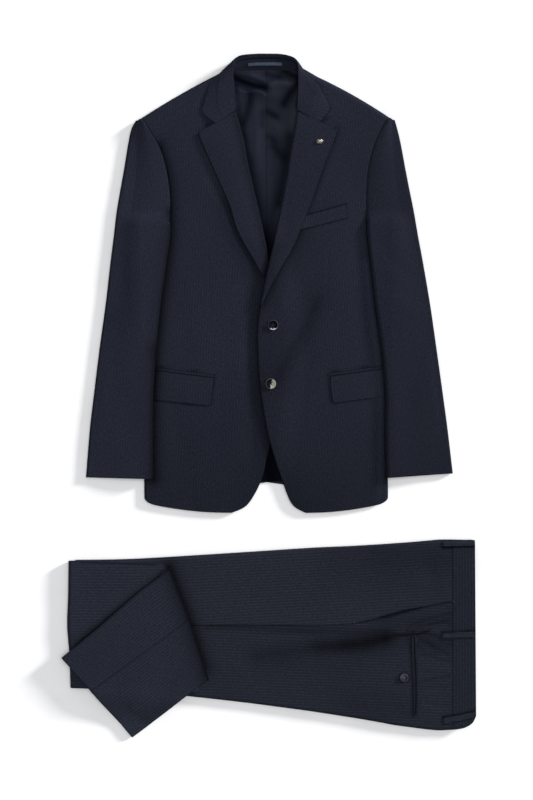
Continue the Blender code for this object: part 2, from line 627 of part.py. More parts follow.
def build_trims(wool, horn, metal, tape):
    """Pockets, buttons, stud and hanger loop of the jacket."""
    cloth("pocket_flap_right", on_top(FLAP_RIGHT, front_height, FLAP_WALL), (7, 5), FLAP_WALL, wool)
    cloth("pocket_flap_left", on_top(FLAP_LEFT, left_front_height, FLAP_WALL), (7, 5), FLAP_WALL,
          wool)
    cloth("pocket_jet_right", on_top(JET_RIGHT, front_height, TRIM_WALL), (7, 1), TRIM_WALL, wool)
    cloth("pocket_jet_left", on_top(JET_LEFT, left_front_height, TRIM_WALL), (7, 1), TRIM_WALL,
          wool)
    cloth("breast_welt", on_top(BREAST_WELT, left_front_height, FLAP_WALL), (6, 4), FLAP_WALL,
          wool)
    for name, x, y in BUTTONS:
        disc(name, (x, y, left_front_height(x, y) + 0.4), BUTTON_DIAMETER, BUTTON_HEIGHT, horn)
    stud = bmesh.new()
    bmesh.ops.create_uvsphere(stud, u_segments=16, v_segments=8, radius=0.5 * MM)
    lie = lapel_height(*STUD_AT, left_front_height) + 0.4
    bmesh.ops.bisect_plane(stud, geom=stud.verts[:] + stud.edges[:] + stud.faces[:],
                           plane_no=(0, 0, 1), clear_inner=True)
    bmesh.ops.holes_fill(stud, edges=stud.edges)
    bmesh.ops.scale(stud, vec=(STUD_SIZE[0], STUD_SIZE[1], 2 * STUD_SIZE[2]), verts=stud.verts)
    bmesh.ops.recalc_face_normals(stud, faces=stud.faces)
    solid("lapel_stud", stud, metal, (*STUD_AT, lie))

    def loop_place(u, v):
        point = section(section(COLLAR_STAND, 0.37 + 0.215 * u).reshape(2, 3), 0.52 - 0.26 * v)
        return point + np.array((0.0, -0.2, 0.5 + TRIM_WALL + 0.8 * math.sin(math.pi * u)))
    cloth("hanger_loop", loop_place, (10, 1), TRIM_WALL, tape)


def leg_end_place(first, second):
    """A panel of the leg end between two of its three long lines: 0 edge, 1 seam, 2 far edge."""
    thickness = 2 * TROUSER_WALL + LEG_END_AIR

    def place(u, v):
        row = section(LEG_END, v).reshape(3, 2)
        start, end = row[first], row[second]
        if first == 1:
            start = start + (row[2] - row[1]) / np.linalg.norm(row[2] - row[1]) * SEAM_GAP
        x, y = start + (end - start) * u
        width = float(np.linalg.norm(end - start))
        from_edge = (u if first == 0 else 1 - u) * width
        from_fold = (1 - v) * LEG_END_LENGTH
        soft = rounded(from_edge + 0.3, STACK_FOLD) * rounded(from_fold + 0.3, STACK_FOLD)
        return x, y, leg_rest(x, y) + TROUSER_WALL + (thickness - TROUSER_WALL) * soft
    return place


def leg_under_place(u, v):
    """The under layer of the leg end, a little inside its edges."""
    row = section(LEG_END, v * 0.97).reshape(3, 2)
    across = row[2] - row[0]
    inset = across / np.linalg.norm(across) * LEG_UNDER_INSET
    x, y = row[0] + inset + (across - 2 * inset) * u
    return x, y, leg_rest(x, y)


def return_place(u, v):
    """The folded-back leg: under the left fold, round it and back over the top."""
    left_x, left_y, right_x, right_y = section(RETURN_LEG, v)
    if u < 0.1:
        return left_x + RETURN_NOSE + RETURN_UNDER * (1 - u / 0.1), left_y, 0.0
    if u < 0.3:
        angle = math.pi * (u - 0.1) / 0.2
        top = return_height(left_x + 20, left_y)
        return (left_x + RETURN_NOSE * (1 - math.sin(angle)), left_y,
                top / 2 * (1 - math.cos(angle)))
    share = (u - 0.3) / 0.7
    x = left_x + RETURN_NOSE + (right_x - left_x - RETURN_NOSE) * share
    y = left_y + (right_y - left_y) * share
    return x, y, return_height(x, y)


def solid(name, built, finish, at=(0.0, 0.0, 0.0)):
    """Make an object of a closed bmesh."""
    mesh = bpy.data.meshes.new(name)
    built.to_mesh(mesh)
    built.free()
    mesh.materials.append(finish)
    piece = bpy.data.objects.new(name, mesh)
    piece.location = Vector(at) * MM
    bpy.data.collections[COLLECTION].objects.link(piece)
    return piece


def inner_layers(finish):
    """The layers hidden in the folded trousers: one solid, with rounded layers along its edges."""
    built = bmesh.new()
    rings = []
    for x in STACK_SECTIONS:
        low = stack_edge_y(x) if x < WAIST_SEAM else stack_edge_y(x) + (x - 345) * 0.7
        top = float(np.interp(x, [row[0] for row in TROUSER_FRONT],
                              [row[3] for row in TROUSER_FRONT]))
        ring = [built.verts.new((x * MM, (low + inset) * MM, z * MM)) for inset, z in STACK_EDGE]
        ring += [built.verts.new((x * MM, (top - inset) * MM, z * MM))
                 for inset, z in STACK_EDGE[::-1]]
        rings.append([built.edges.new((a, b)) for a, b in zip(ring, ring[1:] + ring[:1])])
    for one, other in zip(rings, rings[1:]):
        bmesh.ops.bridge_loops(built, edges=one + other)
    bmesh.ops.holes_fill(built, edges=rings[0] + rings[-1])
    bmesh.ops.triangulate(built, faces=built.faces)
    bmesh.ops.recalc_face_normals(built, faces=built.faces)
    solid("trouser_inner_layers", built, finish)


def build_trousers(wool, horn, lining):
    """All the pieces of the folded trousers."""
    inner_layers(wool)
    cloth("trouser_front", upright_panel(TROUSER_FRONT, trouser_height), (18, 9), TROUSER_WALL,
          wool, ease=(0.0, 0.5))
    cloth("trouser_back", upright_panel(TROUSER_BACK, trouser_height), (18, 10), TROUSER_WALL,
          wool, ease=(0.0, 0.5))
    cloth("waistband", upright_panel(WAISTBAND, waistband_height), (4, 16), WAISTBAND_WALL, wool,
          ease=(0.0, 0.5))
    for name, lower, upper in BELT_LOOPS:
        cloth(name, on_top((lower, upper), waistband_height, LOOP_WALL, 0.5), (9, 2), LOOP_WALL,
              wool)
    for name, lower, upper in HIP_JETS:
        cloth(name, on_top((lower, upper), trouser_height, TRIM_WALL, 0.4), (1, 6), TRIM_WALL, wool)
    cloth("pocket_facing", upright_panel(POCKET_FACING, lambda x, y: TROUSER_LIE - 0.8), (6, 1),
          TRIM_WALL, lining)
    disc("hip_button", (*HIP_BUTTON_AT, TROUSER_LIE + 0.4), HIP_BUTTON_DIAMETER, BUTTON_HEIGHT * 0.85,
         horn)
    cloth("return_leg", return_place, (18, 9), RETURN_WALL, wool, ease=(0.0, 0.4))
    cloth("leg_end_front", leg_end_place(0, 1), (8, 14), TROUSER_WALL, wool, ease=(0.5, 0.3))
    cloth("leg_end_back", leg_end_place(1, 2), (8, 14), TROUSER_WALL, wool, ease=(0.5, 0.3))
    cloth("leg_end_under", leg_under_place, (8, 10), TROUSER_WALL, wool, face_down=True)


def build_scene():
    """Clear the file and build the suit."""
    for old in list(bpy.data.objects):
        bpy.data.objects.remove(old)
    for name in (COLLECTION, "cutters"):
        bpy.context.scene.collection.children.link(bpy.data.collections.new(name))
    wool = material("navy_wool", (0.016, 0.020, 0.031), 0.85)
    lining = material("navy_satin", (0.014, 0.018, 0.030), 0.4)
    horn = material("dark_horn", (0.03, 0.028, 0.03), 0.3)
    metal = material("pale_metal", (0.6, 0.57, 0.5), 0.3, 1.0)
    tape = material("steel_blue_tape", (0.035, 0.052, 0.084), 0.6)
    build_jacket(wool, lining)
    build_trims(wool, horn, metal, tape)
    build_trousers(wool, horn, lining)


build_scene()
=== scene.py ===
"""Two-piece suit laid out flat, dressed in finished cloth.

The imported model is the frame. Each cloth wall is made again as a finer shell on the same seams,
with its creases, its grain and its edges turned soft. Tables and heights are in millimetres: X runs
to the wearer's left, Y towards the collar and Z up from the surface that the suit lies on.
"""
import math

import bmesh
import bpy
import numpy as np
from mathutils import Matrix, Vector


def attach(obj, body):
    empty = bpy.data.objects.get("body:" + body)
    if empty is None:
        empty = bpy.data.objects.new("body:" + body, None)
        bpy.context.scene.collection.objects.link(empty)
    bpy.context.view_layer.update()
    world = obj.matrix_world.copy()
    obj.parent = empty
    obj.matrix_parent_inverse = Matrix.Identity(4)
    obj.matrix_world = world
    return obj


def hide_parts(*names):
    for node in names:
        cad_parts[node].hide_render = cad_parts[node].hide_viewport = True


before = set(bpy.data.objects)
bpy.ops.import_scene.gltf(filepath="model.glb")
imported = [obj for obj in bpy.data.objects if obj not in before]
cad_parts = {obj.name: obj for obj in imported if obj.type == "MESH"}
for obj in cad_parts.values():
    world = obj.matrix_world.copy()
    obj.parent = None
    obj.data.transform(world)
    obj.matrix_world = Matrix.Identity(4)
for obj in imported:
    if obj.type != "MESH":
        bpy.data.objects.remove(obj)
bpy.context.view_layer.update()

bl_info = {
    "name": "Two-piece suit, laid flat",
    "version": (1, 0, 0),
    "blender": (4, 5, 0),
    "location": "3D View > Sidebar > Suit",
    "description": "Dresses the packed suit in striped worsted, satin lining, horn buttons and stitching",
    "category": "Object",
}

MM = 0.001
NARROWEST_CUT = 0.0102     # a narrow strip is cut with its edges' turnings, in metres
SLIMMEST_CUT = 0.31        # least share of its box that a cut fills
EDGE_SHADE_LINE = (0.3, 2.3)     # where the shade painted along a piece's own edges starts and ends, in millimetres
SPIN_STEPS = 72            # steps of a turned button
NODE_COLUMNS = 12          # shader nodes stand in a grid, in the order in which they are made
NODE_STEP = (200, 260)
TWILL_LINES = 5200.0       # turn of the twill's lines and of the weft's for each metre, in radians
WEFT_LINES = 7800.0
SATIN_GLOSS = 0.1
VEIN_WIDTH = 0.16          # range of the noise over which a vein turns from dark to light
# strength of the highlight painted along a button's rim
RIM_HIGHLIGHT_STRENGTH = 0.5

# --- how the layers lie, in millimetres -------------------------------------------------------
SEAM_GAP = 0.5
LAY_GAP = 0.7
BACK_WALL = 1.6
FRONT_WALL = 1.8
LAPEL_WALL = 2.0
LAPEL_DROP = 3.2           # how far a lapel falls at its roll
SIDE_FALL = (3.6, 6.0)     # how far a front falls at its side edge, and over what width
SIDE_SEAM = (0.9, 2.4)     # the same for its armhole seam
FALL_END = (0.46, 0.58)    # shares of a front's length over which the fall gives way to the seam
SEAM_FROM = (0.5, 0.6)     # shares of it over which the seam's own edge sets in
SEAM_TUCK = 2.6
LAPEL_STANDS_OFF = 0.4
LAPEL_ROLL = 4.5           # how far in a lapel falls round at its roll
ROLL_EDGE = 0.15
ROLL_START = (0.1, 0.35)   # shares of the right lapel's length over which its roll sets in
LAPEL_BELLY = 1.5
BELLY_WIDTHS = (14, 60)    # widths of a lapel between which its belly grows
BELLY_END = (0.75, 1.0)    # shares of its length over which it goes
STANDS_OFF_FROM = (0.12, 0.4)     # shares of it over which its outer edge comes off the front
STANDS_OFF_TO = (0.8, 1.0)
STANDS_OFF_WIDTH = (6, 30)
LAPEL_EDGE = (0.7, 2.6)    # depth and width of a lapel's softened outer edge
COLLAR_WALL = 2.0
COLLAR_TOP = 19.0          # height of the collar's edge where it lies on the fronts
COLLAR_PULL = 0.8          # how near the leaf's turn draws the cloth beside its outer edge
COLLAR_PULL_LOW = 0.15     # the same for its height, where it is turned under
STAND_BAND = 1.1           # how far the band along the stand's top stands out
BAND_END = (0.10, 0.24)    # shares of the way down the stand between which it ends
STAND_GROOVE = (0.9, 0.21, 0.045)     # depth, place and width of the groove below it
STAND_WALL = 1.6
SLEEVE_WALL = 1.6
SLEEVE_AIR = 4.6           # between a sleeve's upper and under wall
SLEEVE_FALL = 30.0         # shortest and farthest reach of a sleeve's fall to the floor
SLEEVE_REACH = 90.0
SLEEVE_HEAD = 2.6          # fullness at the armhole
SLEEVE_OVER = 0.70         # shares of a topsleeve that lie on top and turn round its outer edge
SLEEVE_TURN = 0.16
SLEEVE_NOSE = 5.0          # how far the outer edge of a sleeve turns in
SLEEVE_BELLY = 1.0
SLEEVE_FOOT = 0.4
SLEEVE_TUCKED = 0.035      # share of a topsleeve that is tucked in at the armhole
SLEEVE_CREASED = (3, 14)   # distances from the armhole between which its creases start
SLEEVE_SAG = 0.35
SLEEVE_INNER_RUN = {-1: 14.0, 1: 7.0}
SLEEVE_JOIN = (312.0, 340.0)     # Y between which the inner fold runs into the armhole
SLEEVE_FOLD_INSET = 3.6
UNDERARM_ROW = 4.6         # row of the sleeve tables at which the undersleeve ends
FLAP_WALL = 1.5
TRIM_WALL = 1.0
LINING_WALL = 0.8
TROUSER_WALL = 1.6
WAISTBAND_WALL = 2.4
LOOP_WALL = 1.5

FRONT_LIE = 6.4
LAP_RISE = 4.4             # how far the left front rises where it laps on the right one
LAP_FADE = (6.0, 55.0)     # distances past the right front's edge between which the lap sinks
LAP_LOW = (-190, -120)     # Y between which the lap starts above the hem
LAP_HIGH = (300, 380)      # Y between which it ends under the lapel
LAPEL_BREAK = 310          # Y up to which the fronts' free edges lap
ARMHOLE_FADE = (262, 330)  # Y between which a sleeve leaves the body free
UNDER_SLEEVE = (165, 200)  # distances from the middle between which the chest sinks by a sleeve
SLEEVE_PRESS = (168, 196)  # distances between which a sleeve presses the body's creases flat
CHEST_SWELL = 3.2
CHEST_AT = (112.0, 235.0)
CHEST_SPREAD = (75.0, 120.0)
SHOULDER_RISE = 8.6
SHOULDER_SLOPE = (330.0, 520.0)
SHOULDER_ROLL = 9.0
SHOULDER_BOW = {-1: 3.6, 1: 5.2}     # rise of the right and the left shoulder line's middle
SHOULDER_EDGE = 0.55       # share of its height that a front keeps at the shoulder line
EDGE_START = 0.2
NECK_X = -6.0              # middle of the neck
NECK_HALF = 62.0
NECK_LIFT = 4.7
NECK_SLOPE = (520, 566)    # Y between which the back rises to the collar
NECK_FADE = (92, 140)      # distances from the middle between which it lies flat again
BACK_SHOULDER = 4.6
OPENING_FOOT = 240.0       # Y at which the fronts close below the neck opening
OPENING_X = -3.0
NECK_SPREAD = 0.185        # how fast the opening widens to each side
LINING_FREE = (250, 320)   # Y between which the lining comes free of the fronts
LINING_SLACK = (300, 480)  # Y between which it lifts by a millimetre
LINING_LIFT = (470, 520)   # Y between which it lifts off the back
SIDE_RUN_TOP = 9.0
SIDE_RUN_UNDER = 38.0
SIDE_HEM = -183.0
SIDE_TOP = 261.0
SIDE_DROP = 7.0            # how far the side panel's hem hangs below its seam
SIDE_INSET = 1.2
SIDE_DROP_FROM = 150.0     # how far below Y 0 that starts
HEM_CORNER = (9.5, 20.0)   # rise and width of a front's rounded hem corner
HEM_PART = 0.14            # share of the front's length over which it fades
FRONT_LENGTH = 812.0
FRONT_SAG = 5.0            # how far a front's hem bows below its corners
NECK_CORNER = 34.0         # how far the back rises to the corner of its neck
FRONT_LEAN = {"right": -0.055, "left": 0.107}     # slope of the stripes
SIDE_EDGE = ((-189, 228.8, 217.8), (272, 235.0, 223.0))     # Y, and how far out each side is

BUTTONS = (("button_upper", 7.0, 129.0), ("button_lower", 3.0, 22.0))
# Each button's pale patch, partly milky horn and partly a painted highlight, and the colour of its painted
# rim highlight.
HORN_FACES = {
    "button_upper": {"Pale": (0.42, 0.44, 0.56, 1), "Rim Highlight": (0.10, 0.105, 0.14, 1), "Lean X": 0.0,
                     "Lean Y": -1.0, "Patch Start": 0.5, "Patch Inner Radius": 0.5},
    "button_lower": {"Pale": (0.34, 0.33, 0.27, 1), "Rim Highlight": (0.20, 0.20, 0.18, 1), "Lean X": 0.95,
                     "Lean Y": -0.3, "Patch Start": -0.06, "Patch Inner Radius": 0.05},
    "hip_button": {"Pale": (0.045, 0.05, 0.058, 1), "Rim Highlight": (0.055, 0.06, 0.07, 1), "Lean X": -0.3,
                   "Lean Y": 0.8, "Patch Start": 0.0, "Patch Inner Radius": 0.3},
}
HIP_BUTTON_AT = (246.0, -514.0)
BUTTON_PITCH = 0.19        # a button's hole spacing, hole and thread, as shares of its diameter
BUTTON_HOLE = 0.085
BUTTON_THREAD = 0.05
BUTTONHOLE_LIP = 0.9       # from the middle of a buttonhole to each of its lips
CORD = 1.1                 # thickness of a buttonhole's lips
STUD_AT = (92.0, 463.5)
STUD_SIZE = (14.0, 10.0, 3.0)

TROUSER_LIE = 10.0
STACK_FOLD = 7.0
STACK_EDGE = 0.45          # share of its height that the stack keeps at its folds
STACK_LEFT = -367.0
RETURN_WALL = 3.0
RETURN_LIE = 13.9
RETURN_SOFT = 1.8
RETURN_NOSE = 7.0          # how far the left fold turns in, and runs on under the stack
RETURN_UNDER = 13.0
RETURN_TURN = (0.1, 0.3)   # share of the folded-back leg at which its turn starts and ends
WAIST_SEAM = 335.4
STACK = "trouser_inner_layers"
LEG_END_LENGTH = 245.0
LEG_END_AIR = 2.6
LEG_UNDER_INSET = 6.2
DRAPE_RUN = 64.0           # width over which the leg end falls from the stack to the floor
LIGHT_TURN = math.radians(28)
TOP_LIGHT_HEIGHT = math.radians(80)
KEY_WIDTH = 9              # how wide each light looks, in degrees
TOP_WIDTH = 38
FLOOR_REACH = 6.0          # half the floor's side, its drop below the suit and the camera, in metres
FLOOR_DROP = 0.0004
CAMERA_AT = (-0.005, -0.0076)
SENSOR = 36.0              # width of the camera's sensor, in millimetres

# --- sections, a row for each from the hem up: left_x, left_y, right_x, right_y -----------------
FRONT_RIGHT = (
    (-228.2, -195.4, -68, -213.6), (-228.4, -176, -40, -199), (-228.6, -145, -16, -158),
    (-228.6, -108, -5, -116), (-229.3, -62, 6, -66), (-230.6, 20, 17, 20),
    (-231.5, 102, 19, 102), (-232, 166, 14, 164), (-229, 245, -6, 245),
    (-214, 273, -11, 274), (-194, 290, -18, 304), (-182, 318, -25, 342),
    (-180, 362, -32, 371), (-187, 413, -41, 413), (-199, 452, -49, 452),
    (-215, 480, -60, 494), (-226, 497, -68, 541), (-234, 506, -71, 598),
)
FRONT_LEFT = (
    (66, -213.8, 217.2, -194.8), (41.5, -197.6, 217.2, -176), (24, -156, 216.8, -145),
    (9, -112, 215.8, -108), (-5, -59, 216.6, -62), (-17, 20, 218, 20),
    (-22, 102, 219, 102), (-17, 159, 219.5, 166), (3, 239, 216, 241),
    (13, 276, 202, 271), (20, 305, 185, 287), (27, 338, 178, 318),
    (34, 368, 177, 366), (42, 410, 180, 413), (48, 452, 190, 454),
    (55, 494, 204, 487), (58, 541, 213, 501), (58, 595.2, 219, 508),
)
LAPEL_RIGHT = (
    (-10.5, 216, -8.5, 217), (-17.5, 228, -4, 231), (-29.5, 250, -0.5, 249),
    (-57.5, 300, -10, 300), (-72, 346, -20, 346), (-90, 388, -30, 388),
    (-108, 428, -39, 428), (-121, 457, -46, 468), (-129, 477, -55, 501),
    (-128, 480, -60, 520),
)
LAPEL_LEFT = (
    (-18, 163, -12, 168), (-9, 203, 5, 203), (-2, 236, 23, 236),
    (7, 276, 46, 276), (16, 318, 63, 318), (24, 358, 79, 358),
    (32, 399, 93, 399), (38, 439, 108, 439), (44, 472, 118, 465),
    (49, 504, 124, 483), (51, 519, 122, 486),
)
BACK_RIGHT = (
    (-185.5, -183, -4, -158), (-188.5, -8, -4, 2), (-191, 175, -5, 185),
    (-192, 252, -6, 276), (-182, 293, -6, 318), (-180, 335, -6, 358),
    (-184, 395, -6, 422), (-198, 448, -6, 487), (-218, 485, -6, 541),
    (-233, 505, -6, 589),
)
BACK_LEFT = (
    (-3.4, -158, 172.5, -183), (-3.4, 2, 175.5, -8), (-4.4, 185, 178.5, 175),
    (-5.4, 276, 180, 252), (-5.4, 318, 184, 289), (-5.4, 358, 177, 335),
    (-5.4, 422, 181, 395), (-5.4, 487, 192, 454), (-5.4, 541, 206, 485),
    (-5.4, 589, 219, 507),
)
LINING_RIGHT = (
    (-43, -156.5, -1.5, -156.5), (-46, 29, -1.5, 29), (-61, 194, -2.5, 194),
    (-88, 322, -3.5, 322), (-92, 450, -3.5, 450), (-80, 532, -3.5, 532),
    (-68, 592.5, -3.5, 594.5),
)
LINING_LEFT = (
    (-3.4, -156.5, 36, -156.5), (-4.4, 29, 36, 29), (-4.4, 194, 50, 194),
    (-5.4, 322, 74, 322), (-5.4, 450, 80, 450), (-5.4, 532, 68, 532),
    (-5.4, 594.5, 56, 592.5),
)
# Sleeves have a fifth column, where the topsleeve ends on the underside.
TOPSLEEVE_RIGHT = (
    (-335, -149, -212, -152, -318), (-328, -62, -212, -62, -311), (-321, -2, -211, 2, -304),
    (-310.5, 84, -206, 84, -295), (-299.2, 166, -198, 166, -283), (-290.8, 239, -188, 238, -275),
    (-284, 293, -180.6, 293, -264), (-279, 336, -180.6, 335, -186), (-272, 377, -182.6, 377, -188),
    (-264.6, 419, -188.6, 417, -194), (-258.5, 457, -200.6, 455, -206),
    (-252.2, 487, -215.6, 483, -223), (-243.5, 503, -234.8, 506, -236.5),
)
TOPSLEEVE_LEFT = (
    (213.5, -150, 335.6, -142, 318), (211.5, -62, 326.2, -62, 309), (212, 2, 317.6, 2, 301),
    (205, 84, 306.2, 84, 289), (193, 166, 294.4, 166, 278), (185, 239, 282, 239, 265),
    (178.8, 293, 272, 293, 254), (177.8, 335, 264.6, 336, 183), (178.8, 377, 256.4, 377, 184),
    (182.8, 417, 248.6, 417, 188), (190.8, 455, 241.6, 455, 197), (202.8, 483, 235.4, 483, 211),
    (219.8, 508, 229.4, 504, 222),
)
# Lines of x and y along which soft shade is painted; a depth below 0 given with a line paints light.
SLEEVE_LIGHT = ((202, -186), (203, -60), (202, 2), (196, 84), (185, 166), (177, 239))
LAPEL_SHADE = ((-70, 346), (-35, 250), (-16, 196), (-18, 150))
LOW_SHADE = ((-330, -190), (330, -190))
LOW_PAINTED_SHADE = (LOW_SHADE, 190.0, 0.27)
DIAGONAL_CREASE_SHADE = ((86, 172), (68, 136), (46, 96), (28, 62), (14, 34))
HIP_TROUGH_SHADE = ((52, -467), (93, -459), (139, -456), (175, -452), (212, -443), (239, -438), (262, -433))
HIP_LEAD_SHADE = ((-20, -474), *HIP_TROUGH_SHADE[:5])
HIP_SHADE = ((190, -412), (330, -404))
SEAT_SHADE = ((20, -490), (90, -500), (160, -494))
HIP_WRINKLE_SHADES = (((276, -422), (300, -416), (330, -408)), ((258, -418), (290, -406), (332, -396)),
                ((275, -444), (300, -458), (326, -470)), ((282, -470), (310, -480), (334, -484)),
                ((278, -520), (300, -515), (330, -512)), ((250, -428), (276, -432), (306, -437)))
UNDER_EDGE_SHADE = ((-345, -303.4), (-300, -304.6), (-250, -306), (-205, -308.4))
LEG_WEDGE_SHADE = ((-346, -452), (-310, -422), (-282, -404))
POCKET_MOUTH_SHADE = ((206, -403), (222, -400), (239, -395.5), (256, -391.5), (272, -388))
MOUTH_EDGE_SHADE = ((206, -401.5), (222, -396.6), (239, -392), (256, -388.4), (286, -383.4))
HIP_SLIT_SHADE = ((266.8, -582), (267.3, -546), (267.1, -511), (265.6, -475), (264.5, -439))
HIP_LINE = ((226, -436), (250, -436.4), (271, -436), (294, -426.5))
# Upright sections of the trousers: lower_x, lower_y, upper_x, upper_y.
TROUSER_FRONT = (
    (-354, -418, -354, -299.5), (-255, -418, -255, -297.8), (-145, -418, -145, -291.7),
    (-35, -418, -35, -284.7), (75, -418, 75, -277.6), (159, -414, 159, -273.6),
    (239, -393, 239, -268.5), (286, -384, 287, -264.6), (310, -379, 310, -262.6),
    (335.2, -375, 335.2, -262.4),
)
TROUSER_BACK = (
    (-354, -533, -354, -418.6), (-255, -540, -255, -418.6), (-145, -549, -145, -418.6),
    (-35, -561.4, -35, -418.6), (75, -576, 75, -418.6), (159, -589, 159, -415),
    (206, -597.2, 206, -406.2), (218, -599.6, 218, -404.9), (230, -601.8, 230, -401.2),
    (256, -605.2, 256, -392.8), (286, -609.2, 287, -385.4), (310, -611.2, 310, -380.4),
    (335.2, -610, 335.2, -375.8),
)
WAISTBAND = (
    (335.25, -610, 335.3, -262.4), (345, -608.5, 345, -262.6), (358, -605, 358, -262.8),
    (371, -596.6, 371, -262.8), (377.4, -584, 375.4, -264.4),
)
# The folded-back leg from its lower edge up: left_x, left_y, right_x, right_y.
RETURN_LEG = (
    (-363, -533, -128, -541), (-365, -474, -132, -474), (-369, -419, -150, -419),
    (-367.4, -364, -172, -364), (-366.6, -301.4, -193, -305.4),
)
# Leg end, hem to fold: outer edge, side seam and far edge, each x, y.
LEG_END = (
    (-378.6, -477, -323.7, -536.6, -250.4, -624.8), (-345, -449.6, -293.5, -514.5, -224.6, -605.6),
    (-309, -419.8, -258.6, -489.4, -198.4, -585), (-272, -387, -224.8, -464.6, -169.4, -561.6),
    (-236, -356.2, -193, -441.6, -144, -541.4), (-199, -328.2, -166, -421.8, -122.4, -525.6),
    (-182, -310.4, -145.4, -405, -109.6, -517.4),
)
# Collar leaf, gorge to gorge: roll line, turn half way, and outer edge, each x, y, z.
COLLAR_LEAF = (
    (-60.5, 521, 18.2, -79, 508.5, 18.2, -97.7, 495.8, 17.8),
    (-62, 543, 21, -90, 527, 19.6, -121.6, 516, 16.8),
    (-64, 571, 23, -92, 556, 21, -117, 540, 17.2), (-66, 588, 24, -89, 575, 21.4, -111, 562, 16),
    (-66, 597, 23.5, -87, 586, 20, -108.5, 574, 13.5), (-65.4, 603.6, 23, -84.8, 593.4, 16, -103, 579, 7),
    (-64.8, 607.4, 22, -81.6, 597.4, 13, -98, 575, 0), (-62.6, 612.4, 21, -75.4, 603.4, 11, -88, 566, 0),
    (-52, 619.6, 18, -56, 619.4, 9, -52, 572, 0), (-28, 622, 15, -28, 624, 7.5, -28, 576, 0),
    (-1, 623, 14, -1, 624.3, 7, -1, 576, 0), (23, 622, 15, 23, 623.3, 7.5, 25, 576, 0),
    (42, 617, 18, 46, 616.4, 9, 45, 572, 0), (50.4, 609, 21, 59, 601, 11, 72, 564, 0),
    (52.4, 602.4, 22, 64, 592.6, 13, 82, 569, 0), (53, 597, 23, 67.4, 586.6, 16, 86, 571.6, 7),
    (53, 591.4, 23.5, 71, 578.6, 20, 91, 567.6, 13.5), (53, 582, 24, 74, 568.6, 21.6, 95, 556.4, 16.6),
    (53, 563, 23, 79.4, 550, 21.4, 104.6, 539.6, 18.2), (52, 541, 21, 79.6, 527, 20.2, 110.4, 520.4, 18.4),
    (51, 521.4, 18.2, 71, 509.4, 18.2, 90.5, 497.4, 17.8),
)
# Collar stand: its top under the roll, and the seam at its foot, each x, y, z.
COLLAR_STAND = (
    (-66, 556, 17.8, -66, 548, 13), (-67, 573, 18.5, -67, 560, 12), (-67.5, 590, 19, -67.5, 575, 10),
    (-65, 604, 18.8, -66, 588, 8.5), (-54, 615, 16.6, -52, 591.5, 7.5),
    (-28, 620.4, 13.8, -26, 592.8, 6.8), (-1, 621.2, 13.0, -3, 593.2, 6.6),
    (22, 620.4, 13.8, 22, 592.8, 6.8), (43, 614, 16.6, 42, 591.5, 7.5),
    (52.5, 601, 18.8, 53, 588, 8.5), (55, 588, 19, 55, 575, 10), (55, 570, 18.5, 55, 560, 12),
    (54, 553, 17.8, 54, 546, 13),
)
FLAP_RIGHT = ((-212, -7, -110, -17.5), (-212, 2, -106, -12), (-212, 24, -103, 11),
              (-212, 47, -100, 33))
FLAP_LEFT = ((119, -13, 210, -1), (114, -5, 210.5, 9), (112, 16, 210.5, 30), (111, 36, 210, 50))
JET_RIGHT = ((-212, 47.8, -99, 33.8), (-212, 52.5, -99, 38.5))
JET_LEFT = ((109, 36.8, 210, 50.8), (109, 41.5, 210, 55.5))
BREAST_WELT = ((56, 303, 143, 325), (61, 316, 141.5, 338), (66, 329, 140, 350))
BELT_LOOPS = (
    ("belt_loop_side", ((317, -275, 375, -273.4), (317, -264.6, 375, -263.2))),
    ("belt_loop_middle", ((316, -443, 375.6, -440.6), (315.6, -432.8, 375.6, -429.2))),
    ("belt_loop_back", ((319, -599.5, 374, -587.6), (317.6, -587, 376, -575.6))),
)
HIP_JETS = (
    ("hip_jet_inner", ((262.6, -582, 266.2, -582), (262.2, -546, 266.6, -546), (261.2, -511, 266.4, -511),
                       (259.8, -475, 264.8, -475), (259.4, -439, 263.8, -439))),
    ("hip_jet_outer", ((267.4, -582, 270.8, -582), (268.0, -546, 271.2, -546), (267.8, -511, 271.2, -511),
                       (266.4, -475, 270.0, -475), (265.2, -439, 269.0, -439))),
)
JET_BARS = (((260, -438), (268, -438)), ((263, -582.6), (271, -582.6)))
POCKET_TACKS = (((155, -415.6), (155, -410.4)), ((333.4, -375), (338.6, -375)))
# Lines of shade beside the belt loops, on the side away from the light.
LOOP_SHADES = (((317, -276.8), (336, -275.6), (360, -274.8), (376, -275.4)),
               ((315.6, -431.8), (337, -431.2), (376, -428.4)),
               ((317, -586.2), (339, -582.8), (376, -574.6)))
POCKET_FACING = ((200, -410, 200, -399), (222, -408, 222, -394), (239, -404, 239, -389),
                 (256, -399, 256, -386), (280, -390, 280, -382))

# --- creases: start x, y, end x, y, bow, width, width on the other side, height ---------------
FRONT_CREASES = (
    (-30, 238, -30, -96, -4, 9, 17, -1.9), (-128, 430, -20, 212, 4, 15, 9, -0.5),
    (132, 440, 8, 170, 3, 8, 12, -0.4), (160, 250, 196, 60, -8, 16, 20, -0.8),
    (84, 168, 14, 40, 4, 15, 10, -2.1), (58, 156, -4, 66, 2, 12, 14, 1.2),
    (-60, 260, -44, 120, 6, 16, 22, -0.9), (150, 60, 190, -120, 4, 18, 26, 0.5),
    (-150, 230, -120, 60, -5, 24, 18, 0.6), (-170, -40, -150, -180, 3, 20, 24, -0.5),
    (108, 262, 104, 150, 0, 1.6, 1.6, -0.5), (-112, 262, -108, 150, 0, 1.6, 1.6, -0.45),
    (60, -40, 40, -170, -4, 22, 18, 0.5), (-70, -30, -60, -180, 4, 20, 26, 0.5),
    (95, 420, 150, 300, 8, 26, 30, 0.6), (-100, 420, -160, 300, -8, 26, 30, 0.6),
)
